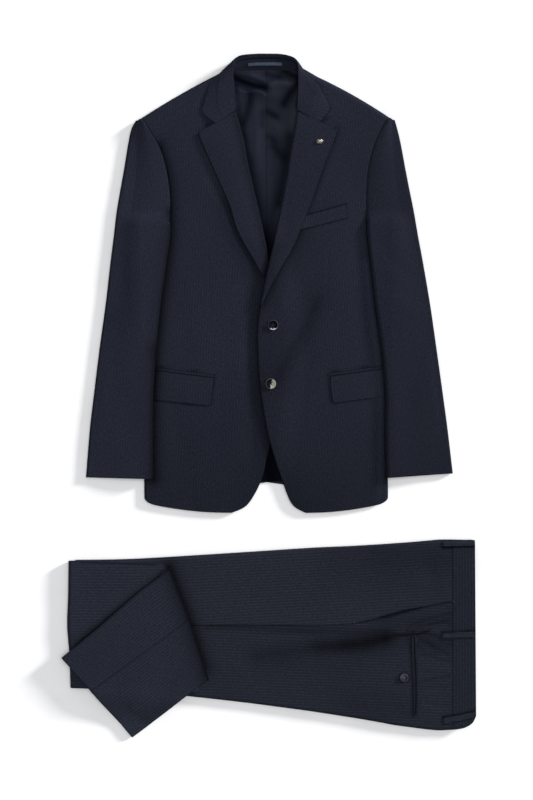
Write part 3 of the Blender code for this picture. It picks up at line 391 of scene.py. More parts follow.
SLEEVE_CREASES = (
    (-215, 262, -286, 205, 8, 12, 16, -0.8), (-205, 190, -290, 150, 5, 16, 10, 0.7),
    (-250, 320, -232, 120, -6, 20, 16, 0.6), (-270, 40, -262, -110, 4, 16, 18, -0.6),
    (-300, 60, -316, -90, 3, 10, 12, 0.5), (-222, 60, -232, -110, -3, 14, 12, 0.5),
    (208, 268, 272, 214, -7, 14, 12, -0.8), (200, 196, 276, 158, -5, 12, 16, 0.7),
    (240, 330, 226, 130, 6, 18, 20, 0.6), (258, 60, 262, -100, -4, 18, 16, -0.6),
    (292, 70, 312, -80, -3, 12, 10, 0.5), (226, 50, 232, -120, 3, 12, 14, 0.5),
)
TROUSER_CREASES = (
    (-140, -424, 165, -436, -3, 7, 9, -1.4), (20, -462, 262, -435, -8, 13, 20, -2.6),
    (-60, -434, 240, -426, 6, 7, 8, 1.8), (240, -430, 330, -418, 4, 6, 5, -2.0),
    (236, -404, 334, -384, 3, 6, 6, -0.9), (272, -477, 330, -474, 0, 3.4, 2.6, -1.3),
    (274, -508, 330, -505, 0, 3.0, 3.4, -1.2), (272, -538, 330, -534, 2, 3.4, 3.0, -1.2),
    (276, -422, 326, -436, -3, 4, 5, 1.0), (278, -560, 330, -566, -2, 4, 5, -1.0),
    (276, -446, 300, -466, 3, 5, 4, -0.9), (200, -560, 262, -590, 4, 18, 14, -1.0),
    (282, -296, 300, -360, 5, 14, 18, -0.9), (-20, -330, 220, -318, 6, 26, 30, 0.7),
    (-80, -500, 190, -520, -6, 30, 26, 0.8), (240, -340, 330, -352, 4, 16, 12, 0.6),
)
RETURN_CREASES = (
    (-360, -445, -290, -452, 4, 14, 8, -1.2), (-366, -340, -230, -330, 6, 26, 20, 0.8),
    (-350, -400, -300, -360, 5, 20, 16, -0.6),
)
LEG_END_CREASES = (
    (-318, -520, -190, -415, 3, 10, 12, 0.5), (-262, -576, -214, -606, 2, 10, 12, -0.8),
    (-300, -470, -220, -400, 5, 24, 20, 0.8), (-210, -560, -140, -500, -4, 22, 20, 0.7),
)
LINING_FOLDS = (
    (-62, 580, -8, 564, 2, 6, 8, -1.8), (-66, 565, -6, 551, 4, 6, 9, 1.6),
    (-36, 556, -47, 498, 3, 6, 7, -1.1), (-22, 540, -24, 420, 2, 9, 8, 0.9),
    (-4, 568, 40, 570, 6, 8, 10, 1.2), (27, 592, 53, 581, 0, 7, 7, -1.0),
    (51, 569, 27, 534, 2, 7, 8, -1.3), (-3, 520, 15, 510, 0, 5, 6, -0.8),
    (10, 500, 24, 470, -2, 9, 9, 0.7), (7, 457, 26, 437, 1, 8, 8, -0.7),
    (38, 474, 17, 352, -3, 10, 9, -0.9), (-2, 476, 9, 466, 0, 5, 5, -0.5),
)
# Painted shade of the lining's folds, each a line with its width and depth, which is below 0 for painted
# light.
LINING_FOLD_SHADING = (
    (((-62, 580), (-51, 575), (-34, 568.5), (-8, 562.5)), 9.5, 0.88), (((-30, 586), (-5, 576)), 4.0, -0.3),
    (((-65, 564), (-55, 559), (-44, 554.5), (-35, 556), (-22, 557), (-12, 554.5), (-6, 549)), 2.2, -0.7),
    (((-36, 551), (-36, 540), (-42, 519), (-47, 499)), 6.5, 0.5), (((-58, 548), (-56, 520)), 7.0, -0.2),
    (((-30, 430), (-25, 400), (-20, 350)), 9.0, 0.22), (((-13, 520), (-13, 495)), 6.0, 0.25),
    (((-24, 527), (-24, 417)), 8.0, -0.15),
    (((27, 593), (53, 581)), 7.0, 0.7), (((-4, 588), (18, 582)), 6.5, 0.4),
    (((-3, 567), (16, 573), (38, 570)), 4.5, -0.35), (((6, 560), (14, 552)), 12.0, -0.25),
    (((51, 569), (38, 552), (27, 534)), 8.0, 0.66), (((-2, 519), (14, 510)), 5.5, 0.52),
    (((-2, 475), (9, 466)), 5.5, 0.36), (((7, 457), (25, 437)), 9.0, 0.42),
    (((10, 500), (22, 484)), 8.0, -0.15), (((38, 474), (30, 420), (18, 351)), 12.0, 0.55),
)


# --- curves and heights -----------------------------------------------------------------------
def smooth(value, low, high):
    """0 below low, 1 above high, and an S-curve between them."""
    part = np.clip((value - low) / (high - low), 0.0, 1.0)
    return part * part * (3.0 - 2.0 * part)


def swell(x, y, at, spread):
    """A soft round rise of height 1 at a point."""
    return np.exp(-((x - at[0]) / spread[0]) ** 2 - ((y - at[1]) / spread[1]) ** 2)


def rounded(distance, width):
    """0 at an edge and 1 from width inwards, as a quarter of an ellipse."""
    part = np.clip(distance / width, 0.0, 1.0)
    return np.sqrt(1.0 - (1.0 - part) ** 2)


def edge_fall(distance, width):
    """Near 1 at an edge and 0 from width inwards."""
    return 1 - rounded(distance + EDGE_START, width)


def bowed(part, height):
    """0 at both ends of a run and height in its middle."""
    return height * 4 * part * (1 - part)


def creases(x, y, rows):
    """Soft ridges and troughs, each along a bowed line that fades out at its two ends."""
    total = np.zeros_like(x)
    for start_x, start_y, end_x, end_y, bow, width, other, height in rows:
        run, rise = end_x - start_x, end_y - start_y
        length = math.hypot(run, rise)
        along = ((x - start_x) * run + (y - start_y) * rise) / length ** 2
        part = np.clip(along, 0.0, 1.0)
        across = ((y - start_y) * run - (x - start_x) * rise) / length - bowed(part, bow)
        beyond = (along - part) * length / (0.8 * (width + other))
        spread = np.where(across > 0, width, other)
        fade = np.sin(np.pi * np.clip(0.12 + 0.76 * part, 0, 1)) ** 0.8
        total += height * fade * np.exp(-(across / spread) ** 2 - beyond ** 2)
    return total


def curve(before, start, end, after, part):
    """A point part of the way from start to end, on a smooth curve through all four."""
    leave, arrive = (end - before) / 2, (after - start) / 2
    return (start + leave * part + (3 * (end - start) - 2 * leave - arrive) * part ** 2
            + (2 * (start - end) + leave + arrive) * part ** 3)


def section(rows, share):
    """Rows of a table read at shares of its length, on a smooth curve through them."""
    table = np.asarray(rows, dtype=float)
    place = np.clip(share, 0.0, 1.0) * (len(table) - 1)
    index = np.minimum(np.asarray(place).astype(int), len(table) - 2)
    part = np.asarray(place - index)[..., None]
    return curve(table[np.maximum(index - 1, 0)], table[index], table[index + 1],
                 table[np.minimum(index + 2, len(table) - 1)], part)


def spanned(rows, share, part):
    """Points part of the way from a section's left point to its right one, and its width."""
    left_x, left_y, right_x, right_y = np.moveaxis(section(rows, share), -1, 0)[:4]
    return left_x + (right_x - left_x) * part, left_y + (right_y - left_y) * part, right_x - left_x


def outline_x(y, rows, first):
    """X of one side of a table of sections at a height y."""
    return np.interp(y, [row[first + 1] for row in rows], [row[first] for row in rows])


def side_edge(column, y):
    """The side edge of the body at a height y."""
    (low_y, *low), (high_y, *high) = SIDE_EDGE
    return low[column] + (high[column] - low[column]) * (y - low_y) / (high_y - low_y)


def shoulder_distance(x, y):
    """How far a point lies below the edge of the shoulder, which falls from neck to sleeve."""
    total = 0.0
    right, left = FRONT_RIGHT[-1], FRONT_LEFT[-1]
    for side, neck, tip, bow in ((x < NECK_X, right[2:], right[:2], SHOULDER_BOW[-1]),
                                 (x >= NECK_X, left[:2], left[2:], SHOULDER_BOW[1])):
        run, rise = tip[0] - neck[0], tip[1] - neck[1]
        share = np.clip((x - neck[0]) / run, 0, 1)
        edge = neck[1] + (x - neck[0]) * rise / run + bowed(share, bow)
        total = total + side * (edge - y) * abs(run) / math.hypot(run, rise)
    return total


def armhole_x(column, y):
    """X of the armhole seam at a height y, from the outer seam of the front."""
    rows = (FRONT_RIGHT, FRONT_LEFT)[column]
    seam = section(rows, 0.6 + 0.4 * np.arange(41) / 40)[:, 2 * column:2 * column + 2]
    return np.interp(y, seam[:, 1], seam[:, 0])


def front_lie(x, y):
    """Outer height of a front panel, without its creases, where nothing laps under it."""
    side = np.where(x < 0, -1, 1)
    chest = CHEST_SWELL * swell(x * side, y, CHEST_AT, CHEST_SPREAD)
    shoulder = SHOULDER_RISE * smooth(y, *SHOULDER_SLOPE)
    under_sleeve = smooth(abs(x), *UNDER_SLEEVE) * (1 - smooth(y, *ARMHOLE_FADE))
    height = FRONT_LIE + chest * (1 - under_sleeve) + shoulder
    low_edge = height * SHOULDER_EDGE
    return low_edge + (height - low_edge) * rounded(shoulder_distance(x, y) + EDGE_START,
                                                    SHOULDER_ROLL)


def front_height(x, y):
    """Outer height of a front panel with its creases, which the sleeves press flat."""
    pressed = smooth(abs(x), *SLEEVE_PRESS) * (1 - smooth(y, *ARMHOLE_FADE))
    return front_lie(x, y) + creases(x, y, FRONT_CREASES) * (1 - pressed)


def right_front_edge(y):
    """X of the free edge of the right front at a height y."""
    return outline_x(y, [row for row in FRONT_RIGHT if row[3] < LAPEL_BREAK], 2)


def left_front_height(x, y):
    """The left front laps on the right one and sinks beside it."""
    lap = 1 - smooth(x - right_front_edge(y), *LAP_FADE)
    lap = lap * smooth(y, *LAP_LOW) * (1 - smooth(y, *LAP_HIGH))
    return front_height(x, y) + LAP_RISE * lap


def back_height(x, y):
    """Underside of the back: flat, but for the neck, which lies on the collar, and the shoulder."""
    from_centre = abs(x - NECK_X)
    neck = NECK_LIFT * smooth(y, *NECK_SLOPE) * (1 - smooth(from_centre, *NECK_FADE))
    edge = edge_fall(shoulder_distance(x, y), SHOULDER_ROLL)
    return np.where(from_centre < NECK_HALF, neck, np.maximum(neck, BACK_SHOULDER * edge))


def lining_height(x, y):
    """The lining lies on the back, and folds where the neck opening leaves it free."""
    opening = (y - OPENING_FOOT) * NECK_SPREAD
    free = smooth(y, *LINING_FREE) * (1 - smooth(abs(x - OPENING_X), opening - 8, opening + 4))
    lift = 0.35 + 0.5 * smooth(y, *LINING_LIFT)
    folds = free * smooth(y, *LINING_SLACK) + creases(x, y, LINING_FOLDS) * free
    return back_height(x, y) + BACK_WALL + lift + LINING_WALL + np.maximum(folds, -0.2)


def stack_edge_y(x):
    """Y of the lower edge of the folded trousers."""
    return np.interp(x, [row[0] for row in TROUSER_BACK], [row[1] for row in TROUSER_BACK])


def trouser_lie(x, y):
    """Outer height of the upper leg without its creases, rounded along its two folded edges."""
    top = np.interp(x, [row[0] for row in TROUSER_FRONT], [row[3] for row in TROUSER_FRONT])
    fold = rounded(np.minimum(top - y, y - stack_edge_y(x)) + 0.1, STACK_FOLD)
    return TROUSER_LIE * (STACK_EDGE + (1 - STACK_EDGE) * fold)


def trouser_height(x, y):
    """Outer height of the upper leg."""
    flat = 1 - smooth(x, 322, WAIST_SEAM)
    return trouser_lie(x, y) + creases(x, y, TROUSER_CREASES) * flat + 0.7


def return_height(x, y):
    """Outer height of the folded-back leg, softened at its two long edges."""
    inside = np.minimum(RETURN_LEG[-1][1] + 1 - y, y - stack_edge_y(x))
    soft = RETURN_SOFT * (1 - rounded(inside + 0.4, RETURN_SOFT * 2))
    return RETURN_LIE - soft + creases(x, y, RETURN_CREASES) * smooth(x, -360, -345)


def leg_rest(x, y):
    """Height under the leg end: the stack where it lies on it, and the floor beside it."""
    inside = np.minimum(y - stack_edge_y(x), x - STACK_LEFT)
    return (RETURN_LIE + 1.2) * smooth(inside, -DRAPE_RUN, -2.0)


def waistband_height(x, y):
    """Outer height of the waistband and, beside it, of the panels it is sewn to."""
    band = smooth(x, WAIST_SEAM - 9, WAIST_SEAM + 5)
    return trouser_height(x, y) + (WAISTBAND_WALL - TROUSER_WALL) * band


# --- cloth walls ------------------------------------------------------------------------------
def eased(share, ease):
    """Crowd a share of 0 to 1 towards its two ends."""
    return share * (1 - ease) + ease * (0.5 - 0.5 * np.cos(np.pi * share))


def cut_size(points, counts):
    """Longest width and length of a panel and its area, in metres, as it was cut."""
    sheet = points.reshape(counts[1] + 1, counts[0] + 1, 3)
    across = np.linalg.norm(np.diff(sheet, axis=1), axis=2).sum(axis=1)
    along = np.linalg.norm(np.diff(sheet, axis=0), axis=2).sum(axis=0)
    one = np.cross(sheet[1:, :-1] - sheet[:-1, :-1], sheet[:-1, 1:] - sheet[:-1, :-1])
    other = np.cross(sheet[:-1, 1:] - sheet[1:, 1:], sheet[1:, :-1] - sheet[1:, 1:])
    area = (np.linalg.norm(one, axis=2).sum() + np.linalg.norm(other, axis=2).sum()) / 2
    width, length = (max(side.max() * MM, NARROWEST_CUT) for side in (across, along))
    return width, length, min(max(area * MM * MM, SLIMMEST_CUT * width * length), width * length)


def run_along(sheet, axis):
    """Distance from the first point of each line of a sheet of points."""
    steps = np.linalg.norm(np.diff(sheet, axis=axis), axis=-1)
    return np.concatenate((np.zeros_like(np.take(steps, [0], axis=axis)),
                           np.cumsum(steps, axis=axis)), axis=axis)


def line_distance(x, y, line):
    """Distance of points from a line of straight runs."""
    best = np.full(x.shape, 1e6)
    for (at_x, at_y), (to_x, to_y) in zip(line, line[1:]):
        run, rise = to_x - at_x, to_y - at_y
        part = np.clip(((x - at_x) * run + (y - at_y) * rise) / (run * run + rise * rise), 0, 1)
        best = np.minimum(best, np.hypot(x - at_x - part * run, y - at_y - part * rise))
    return best


def column_line(rows, first):
    """One side of a table of sections as a line."""
    return [(row[first], row[first + 1]) for row in rows]


def row_line(row):
    """One section of a table as a line."""
    return row[:2], row[2:]


def painted_shading_of(points, counts, edges, painted_shading):
    """How dark the cloth is painted at each point: painted shade in a line along its own edges, and soft
    painted shade beside what lies on it, each (line, width, depth); a depth below 0 paints light."""
    sheet = points.reshape(counts[1] + 1, counts[0] + 1, 3)
    light = np.ones(sheet.shape[:2])
    for axis, near, far in ((1, edges[0], edges[1]), (0, edges[2], edges[3])):
        run = run_along(sheet, axis)
        whole = np.take(run, [-1], axis=axis)
        light *= 1 - near * (1 - smooth(run, *EDGE_SHADE_LINE))
        light *= 1 - far * (1 - smooth(whole - run, *EDGE_SHADE_LINE))
    for line, width, depth in painted_shading:
        distance = line_distance(sheet[..., 0], sheet[..., 1], line)
        light *= 1 - depth * np.exp(-(distance / width) ** 1.5)
    return 1 - light.ravel()


def cloth(node, place, counts, wall, finish, grain, rests_on, name=None, ease=(0.0, 0.0),
          face_down=False, held="laid", slot="wool", edges=(0, 0, 0, 0), painted_shading=()):
    """A cloth wall for one node, on a grid whose points place(u, v) puts in space, with its grain as UV
    and, as an attribute, the shade painted along its edges and beside what lies on it."""
    grid = bmesh.new()
    bmesh.ops.create_grid(grid, x_segments=counts[0], y_segments=counts[1], size=0.5)
    flat = np.array([vertex.co[:2] for vertex in grid.verts]) + 0.5
    order = np.lexsort((np.round(flat[:, 0], 5), np.round(flat[:, 1], 5)))
    u = eased(np.clip(flat[order, 0], 0, 1), ease[0])
    v = eased(np.clip(flat[order, 1], 0, 1), ease[1])
    points = np.stack(np.broadcast_arrays(*place(u, v)), axis=-1)
    across, along = grain(points.reshape(counts[1] + 1, counts[0] + 1, 3))
    grain_at = np.zeros((len(order), 2))
    grain_at[order] = np.stack((across.ravel(), along.ravel()), axis=-1) * MM
    grid.verts.ensure_lookup_table()
    for index, point in zip(order, points):
        grid.verts[index].co = Vector(point) * MM
    # shade painted into the cloth's colour at each point, kept as an attribute
    shading_paint = painted_shading_of(points, counts, edges, painted_shading)
    painted_shade_layer = grid.verts.layers.float.new("painted_shade_layer")
    for index, dark in zip(order, shading_paint):
        grid.verts[index][painted_shade_layer] = dark
    layer = grid.loops.layers.uv.new("grain")
    for face in grid.faces:
        face.smooth = True
        for loop in face.loops:
            loop[layer].uv = grain_at[loop.vert.index]
    for edge in grid.edges:
        edge.smooth = not edge.is_boundary
    if face_down:
        bmesh.ops.reverse_faces(grid, faces=grid.faces)
    piece = finished((name or node) + "_cloth", grid, finish, node)
    solidify = piece.modifiers.new("wall", 'SOLIDIFY')
    solidify.thickness = wall * MM
    solidify.offset = -1.0
    width, length, area = cut_size(points, counts)
    return piece


def linked(name, data):
    """A new object in the scene."""
    made = bpy.data.objects.new(name, data)
    bpy.context.scene.collection.objects.link(made)
    return made


def placed(name, built, finish=None):
    """A new object of a bmesh, at the origin."""
    mesh = bpy.data.meshes.new(name)
    built.to_mesh(mesh)
    built.free()
    if finish:
        mesh.materials.append(finish)
    return linked(name, mesh)


def finished(name, built, finish, node):
    """A piece of the suit, riding on its one body, in place of a node if it is given."""
    piece = placed(name, built, finish)
    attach(piece, "root")
    if node:
        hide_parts(node)
    return piece


def straight_grain(lean, upright=True):
    """Grain of a panel that lies flat: stripes run up it, or along it, and lean a little."""
    def read(sheet):
        x, y = sheet[..., 0], sheet[..., 1]
        if upright:
            return x + lean * y, y - lean * x
        return y + lean * x, x - lean * y
    return read


def wrapped_grain(lean, middle=0.5):
    """Grain that follows a panel round its turns: measured across it from its middle line."""
    def read(sheet):
        across = run_along(sheet, 1)
        column = int(middle * (sheet.shape[1] - 1))
        start = sheet[:, column, 0] + lean * sheet[:, column, 1]
        side = np.sign(sheet[0, column + 1, 0] - sheet[0, column, 0])
        offset = (across - across[:, column:column + 1]) * side
        return start[:, None] + offset, sheet[..., 1] - lean * sheet[..., 0]
    return read


def cross_grain(offset=0.0):
    """Grain whose stripes run from one end to the other, measured along the middle line."""
    def read(sheet):
        fall = run_along(sheet, 0)
        across = run_along(sheet[len(sheet) // 2], 0) + offset
        return np.broadcast_to(across, fall.shape), fall
    return read


def lapped(height, wall, gap):
    """Height of a piece that lies on a panel, made from the panel's own heights moved out."""
    return lambda x, y: height(x, y) + gap + wall


def panel(rows, height, sag=0.0, corner=None, soft=None, bow=0.0, round_side=0):
    """Place a panel between its left and right seams. sag bows the first section outwards, corner =
    (share, rise) lifts the last one to a corner, bow lifts its middle, soft(u, v, width) sinks its
    free edges, and the first section's left (-1) or right (1) corner is rounded."""
    def place(u, v):
        x, y, width = spanned(rows, v, u)
        y = y - bowed(u, sag) * (1 - v) ** 6
        if corner:
            share, rise = corner
            y = y + rise * np.minimum(u / share, (1 - u) / (1 - share)) * smooth(v, 0.55, 1.0)
        if round_side:
            rise, run = HEM_CORNER
            from_corner = (u if round_side < 0 else 1 - u) * width
            y = y + rise * (1 - rounded(from_corner, run)) * (1 - smooth(v, 0.0, HEM_PART))
        y = y + bowed(u, bow) * smooth(v, 0.8, 1.0)
        z = height(x, y)
        if soft:
            z = z - soft(u, v, width)
        return x, y, z
    return place


def upright_panel(rows, height):
    """Place a panel whose rows run along X, each with its lower and upper point."""
    def place(u, v):
        x, y, _ = spanned(rows, u, v)
        return x, y, height(x, y)
    return place


def soft_edges(length, left, right, low, high=0.0, run=3.0):
    """How far the free edges of a panel sink, each by its own depth, over a short run."""
    def sink(u, v, width):
        drop = 0.0
        for depth, distance in ((left, u * width), (right, (1 - u) * width), (low, v * length),
                                (high, (1 - v) * length)):
            drop = np.maximum(drop, depth * edge_fall(distance, run))
        return drop
    return sink


def lapel_place(rows, front, roll_on_left):
    """A lapel falls round at its roll edge, and its outer edge stands a little off the front."""
    def place(u, v):
        x, y, width = spanned(rows, v, u)
        from_roll = (u if roll_on_left else 1 - u) * width
        from_edge = width - from_roll
        top = front(x, y) + LAY_GAP + LAPEL_WALL
        drop = LAPEL_DROP if roll_on_left else LAPEL_DROP * smooth(v, *ROLL_START)
        belly = LAPEL_BELLY * smooth(width, *BELLY_WIDTHS) * (1 - smooth(v, *BELLY_END))
        z = top + belly * np.sin(np.pi * np.clip(from_roll / np.maximum(width, 1), 0, 1)) ** 1.5
        z = z - drop * (1 - rounded(from_roll + ROLL_EDGE, LAPEL_ROLL))
        z = z + LAPEL_STANDS_OFF * smooth(v, *STANDS_OFF_FROM) * (1 - smooth(v, *STANDS_OFF_TO)) * (
            1 - smooth(from_edge, *STANDS_OFF_WIDTH))
        depth, run = LAPEL_EDGE
        return x, y, z - depth * edge_fall(from_edge, run)
    return place


def side_place(column, sign):
    """A side panel: along the floor, round the edge of the body and a little way over its top."""
    radius = (FRONT_LIE - FRONT_WALL - LAY_GAP) / 2
    half_turn = math.pi * radius
    whole = SIDE_RUN_UNDER + half_turn + SIDE_RUN_TOP

    def place(u, v):
        run = u * whole
        y = SIDE_HEM + v * (SIDE_TOP - SIDE_HEM)
        edge = side_edge(column, y) - SIDE_INSET - radius
        angle = np.clip((run - SIDE_RUN_UNDER) / radius, 0, math.pi)
        over = np.maximum(run - SIDE_RUN_UNDER - half_turn, 0)
        out = edge - np.maximum(SIDE_RUN_UNDER - run, 0) + radius * np.sin(angle) - over
        turned = (1 - np.cos(angle)) / 2
        hangs = smooth(-y, SIDE_DROP_FROM, -SIDE_HEM)
        drop = SIDE_DROP * (2 * turned - smooth(run, 4, SIDE_RUN_UNDER)) * hangs
        return sign * out, y - drop, radius * (1 - np.cos(angle))
    return place


def sleeve_rest(x, y, sign, column):
    """Height under a sleeve: the body where it lies on it, falling to the floor at its far edge."""
    rows, first = (TOPSLEEVE_RIGHT, 0) if sign < 0 else (TOPSLEEVE_LEFT, 2)
    outer = sign * outline_x(y, rows, first)
    edge = side_edge(column, y)
    run = np.clip(outer - SLEEVE_NOSE - 3 - edge, SLEEVE_FALL, SLEEVE_REACH)
    share = np.clip((sign * x - edge - 1) / run, 0, 1)
    fallen = share - SLEEVE_SAG * np.sin(2 * np.pi * share) / (2 * np.pi)
    return (front_lie(x, y) + LAY_GAP) * (1 - fallen)


def topsleeve_place(rows, sign, column):
    """A topsleeve: from the armhole or inner fold over the top, round the outer edge and under."""
    thickness = 2 * SLEEVE_WALL + SLEEVE_AIR

    def place(u, v):
        left_x, left_y, right_x, right_y, under_x = np.moveaxis(section(rows, v), -1, 0)
        (in_x, in_y), (out_x, out_y) = ((right_x, right_y), (left_x, left_y))[::-sign]
        joined = smooth(in_y, *SLEEVE_JOIN)
        sewn_x = armhole_x(column, in_y) + sign * (SEAM_GAP + 0.2)
        in_x = np.where(in_y > SLEEVE_JOIN[0], sewn_x, in_x)
        width = abs(out_x - in_x)
        nose = np.minimum(SLEEVE_NOSE, width * 0.35)
        share = np.clip(u / SLEEVE_OVER, 0, 1)
        tuck = (1 - smooth(u, 0.0, SLEEVE_TUCKED)) * joined
        out = share * (width - nose) - SEAM_TUCK * tuck
        x = in_x + sign * out
        y = in_y + (out_y - in_y) * share
        out = np.maximum(out, 0)
        rest = sleeve_rest(x, y, sign, column)
        foot = rest + SLEEVE_FOOT
        free = rest + thickness + SLEEVE_BELLY * np.sin(np.pi * share)
        free = foot + (free - foot) * rounded(out + EDGE_START, SLEEVE_INNER_RUN[sign])
        held = front_lie(in_x, in_y) * (1 - share) + thickness * share
        held = held + SLEEVE_HEAD * np.sin(np.pi * np.clip(share * 1.3, 0.0, 1.0))
        inside = smooth(out, *SLEEVE_CREASED) * (1 - smooth(share, 0.86, 1.0))
        top = free * (1 - joined) + held * joined + creases(x, y, SLEEVE_CREASES) * inside
        top = top - (FRONT_WALL + SLEEVE_FOOT) * tuck
        angle = math.pi * np.clip((u - SLEEVE_OVER) / SLEEVE_TURN, 0, 1)
        under = np.clip((u - SLEEVE_OVER - SLEEVE_TURN) / (1 - SLEEVE_OVER - SLEEVE_TURN), 0, 1)
        low_x = out_x - sign * nose
        turn_x = out_x - sign * nose * (1 - np.sin(angle))
        turn_z = thickness / 2 * (1 + np.cos(angle))
        over = u <= SLEEVE_OVER
        turning = u <= SLEEVE_OVER + SLEEVE_TURN
        x = np.where(over, x, np.where(turning, turn_x, low_x + (under_x - low_x) * under))
        z = np.where(over, top, np.where(turning, turn_z, 0.0))
        return x, np.where(over, y, out_y), z
    return place


def undersleeve_place(rows, sign, column):
    """An undersleeve: flat on the floor, and over the side of the body at its inner edge."""
    underarm = UNDERARM_ROW / (len(rows) - 1)

    def place(u, v):
        left_x, left_y, right_x, right_y, under_x = np.moveaxis(section(rows, v * underarm), -1, 0)
        if sign < 0:
            start, end = under_x + 1.0, right_x - SLEEVE_FOLD_INSET
        else:
            start, end = left_x + SLEEVE_FOLD_INSET, under_x - 1.0
        x = start + (end - start) * u
        y = left_y + (right_y - left_y) * u
        return x, y, sleeve_rest(x, y, sign, column)
    return place


def collar_place(u, v):
    """A point of the leaf: over the shoulder beside the neck, and turned under it at the back."""
    lines = section(COLLAR_LEAF, u).reshape(-1, 3, 3)
    roll, turn, edge = lines[:, 0], lines[:, 1], lines[:, 2]
    on_top = np.clip(edge[:, 2:] / COLLAR_TOP, 0.0, 1.0)
    flat_pull = np.full_like(on_top, COLLAR_PULL)
    high_pull = COLLAR_PULL_LOW + (COLLAR_PULL - COLLAR_PULL_LOW) * on_top
    pull = np.concatenate((flat_pull, flat_pull, high_pull), axis=1)
    under = edge + (turn - edge) * pull
    stack = np.stack((roll, turn, under, edge), axis=0)
    place = np.clip(v, 0, 1) * 3
    index = np.minimum(place.astype(int), 2)
    part = (place - index)[:, None]
    pick = np.arange(len(u))
    point = curve(stack[np.maximum(index - 1, 0), pick], stack[index, pick], stack[index + 1, pick],
                  stack[np.minimum(index + 2, 3), pick], part)
    return point[:, 0], point[:, 1], np.maximum(point[:, 2], 0.0)


def stand_place(u, v):
    """A point of the collar stand, between its top under the roll and the seam at its foot."""
    lines = section(COLLAR_STAND, u).reshape(-1, 2, 3)
    point = lines[:, 0] + (lines[:, 1] - lines[:, 0]) * v[:, None]
    depth, middle, width = STAND_GROOVE
    groove = depth * np.exp(-((v - middle) / width) ** 2)
    band = STAND_BAND * (1 - smooth(v, *BAND_END))
    return point[:, 0], point[:, 1], point[:, 2] + (band - groove)


def leg_end_place(first):
    """A panel of the leg end, from the first or the second of its three long lines to the next."""
    thickness = 2 * TROUSER_WALL + LEG_END_AIR + 0.4

    def place(u, v):
        lines = section(LEG_END, v).reshape(-1, 3, 2)
        start, end = lines[:, first], lines[:, first + 1]
        if first == 1:
            across = lines[:, 2] - lines[:, 1]
            start = start + across / np.linalg.norm(across, axis=1)[:, None] * SEAM_GAP
        point = start + (end - start) * u[:, None]
        x, y = point[:, 0], point[:, 1]
        width = np.linalg.norm(end - start, axis=1)
        from_edge = (u if first == 0 else 1 - u) * width
        from_fold = (1 - v) * LEG_END_LENGTH
        soft = rounded(from_edge + 0.3, STACK_FOLD) * (0.5 + 0.5 * rounded(from_fold + 0.3, STACK_FOLD))
        lie = TROUSER_WALL + (thickness - TROUSER_WALL) * soft
        return x, y, leg_rest(x, y) + lie + creases(x, y, LEG_END_CREASES) * smooth(soft, 0.7, 1)
    return place


def leg_under_place(u, v):
    """The under layer of the leg end, a little inside its edges."""
    lines = section(LEG_END, v * 0.97).reshape(-1, 3, 2)
    across = lines[:, 2] - lines[:, 0]
    inset = across / np.linalg.norm(across, axis=1)[:, None] * LEG_UNDER_INSET
    point = lines[:, 0] + inset + (across - 2 * inset) * u[:, None]
    return point[:, 0], point[:, 1], leg_rest(point[:, 0], point[:, 1])


def return_place(u, v):
    """The folded-back leg: under the left fold, round it and back over the top."""
    left_x, left_y, right_x, right_y = np.moveaxis(section(RETURN_LEG, v), -1, 0)
    start, stop = RETURN_TURN
    share = np.clip((u - stop) / (1 - stop), 0, 1)
    x = left_x + RETURN_NOSE + (right_x - left_x - RETURN_NOSE) * share
    y = left_y + (right_y - left_y) * share
    angle = math.pi * np.clip((u - start) / (stop - start), 0, 1)
    end = return_height(left_x + 20, left_y)
    turn_x = left_x + RETURN_NOSE * (1 - np.sin(angle))
    under_x = left_x + RETURN_NOSE + RETURN_UNDER * (1 - u / start)
    x = np.where(u < start, under_x, np.where(u < stop, turn_x, x))
    blend = smooth(share, 0.0, 0.08)
    over = return_height(x, y) * blend + end * (1 - blend)
    z = np.where(u < start, 0.0, np.where(u < stop, end / 2 * (1 - np.cos(angle)), over))
    return x, y, z


# --- shader nodes -----------------------------------------------------------------------------
def add_node(tree, kind, inputs=None, **settings):
    """Add a shader node on the next place of a grid, with its settings and its inputs."""
    made = tree.nodes.new(kind)
    row, column = divmod(len(tree.nodes), NODE_COLUMNS)
    made.location = (column * NODE_STEP[0], -row * NODE_STEP[1])
    for name, value in settings.items():
        setattr(made, name, value)
    feed(made, inputs or {})
    return made


def feed(made, inputs):
    """Link signals to a node's inputs, and set the inputs that are given plain values."""
    for slot, value in inputs.items():
        if isinstance(value, Signal):
            value.tree.links.new(value.socket, made.inputs[slot])
        else:
            made.inputs[slot].default_value = value


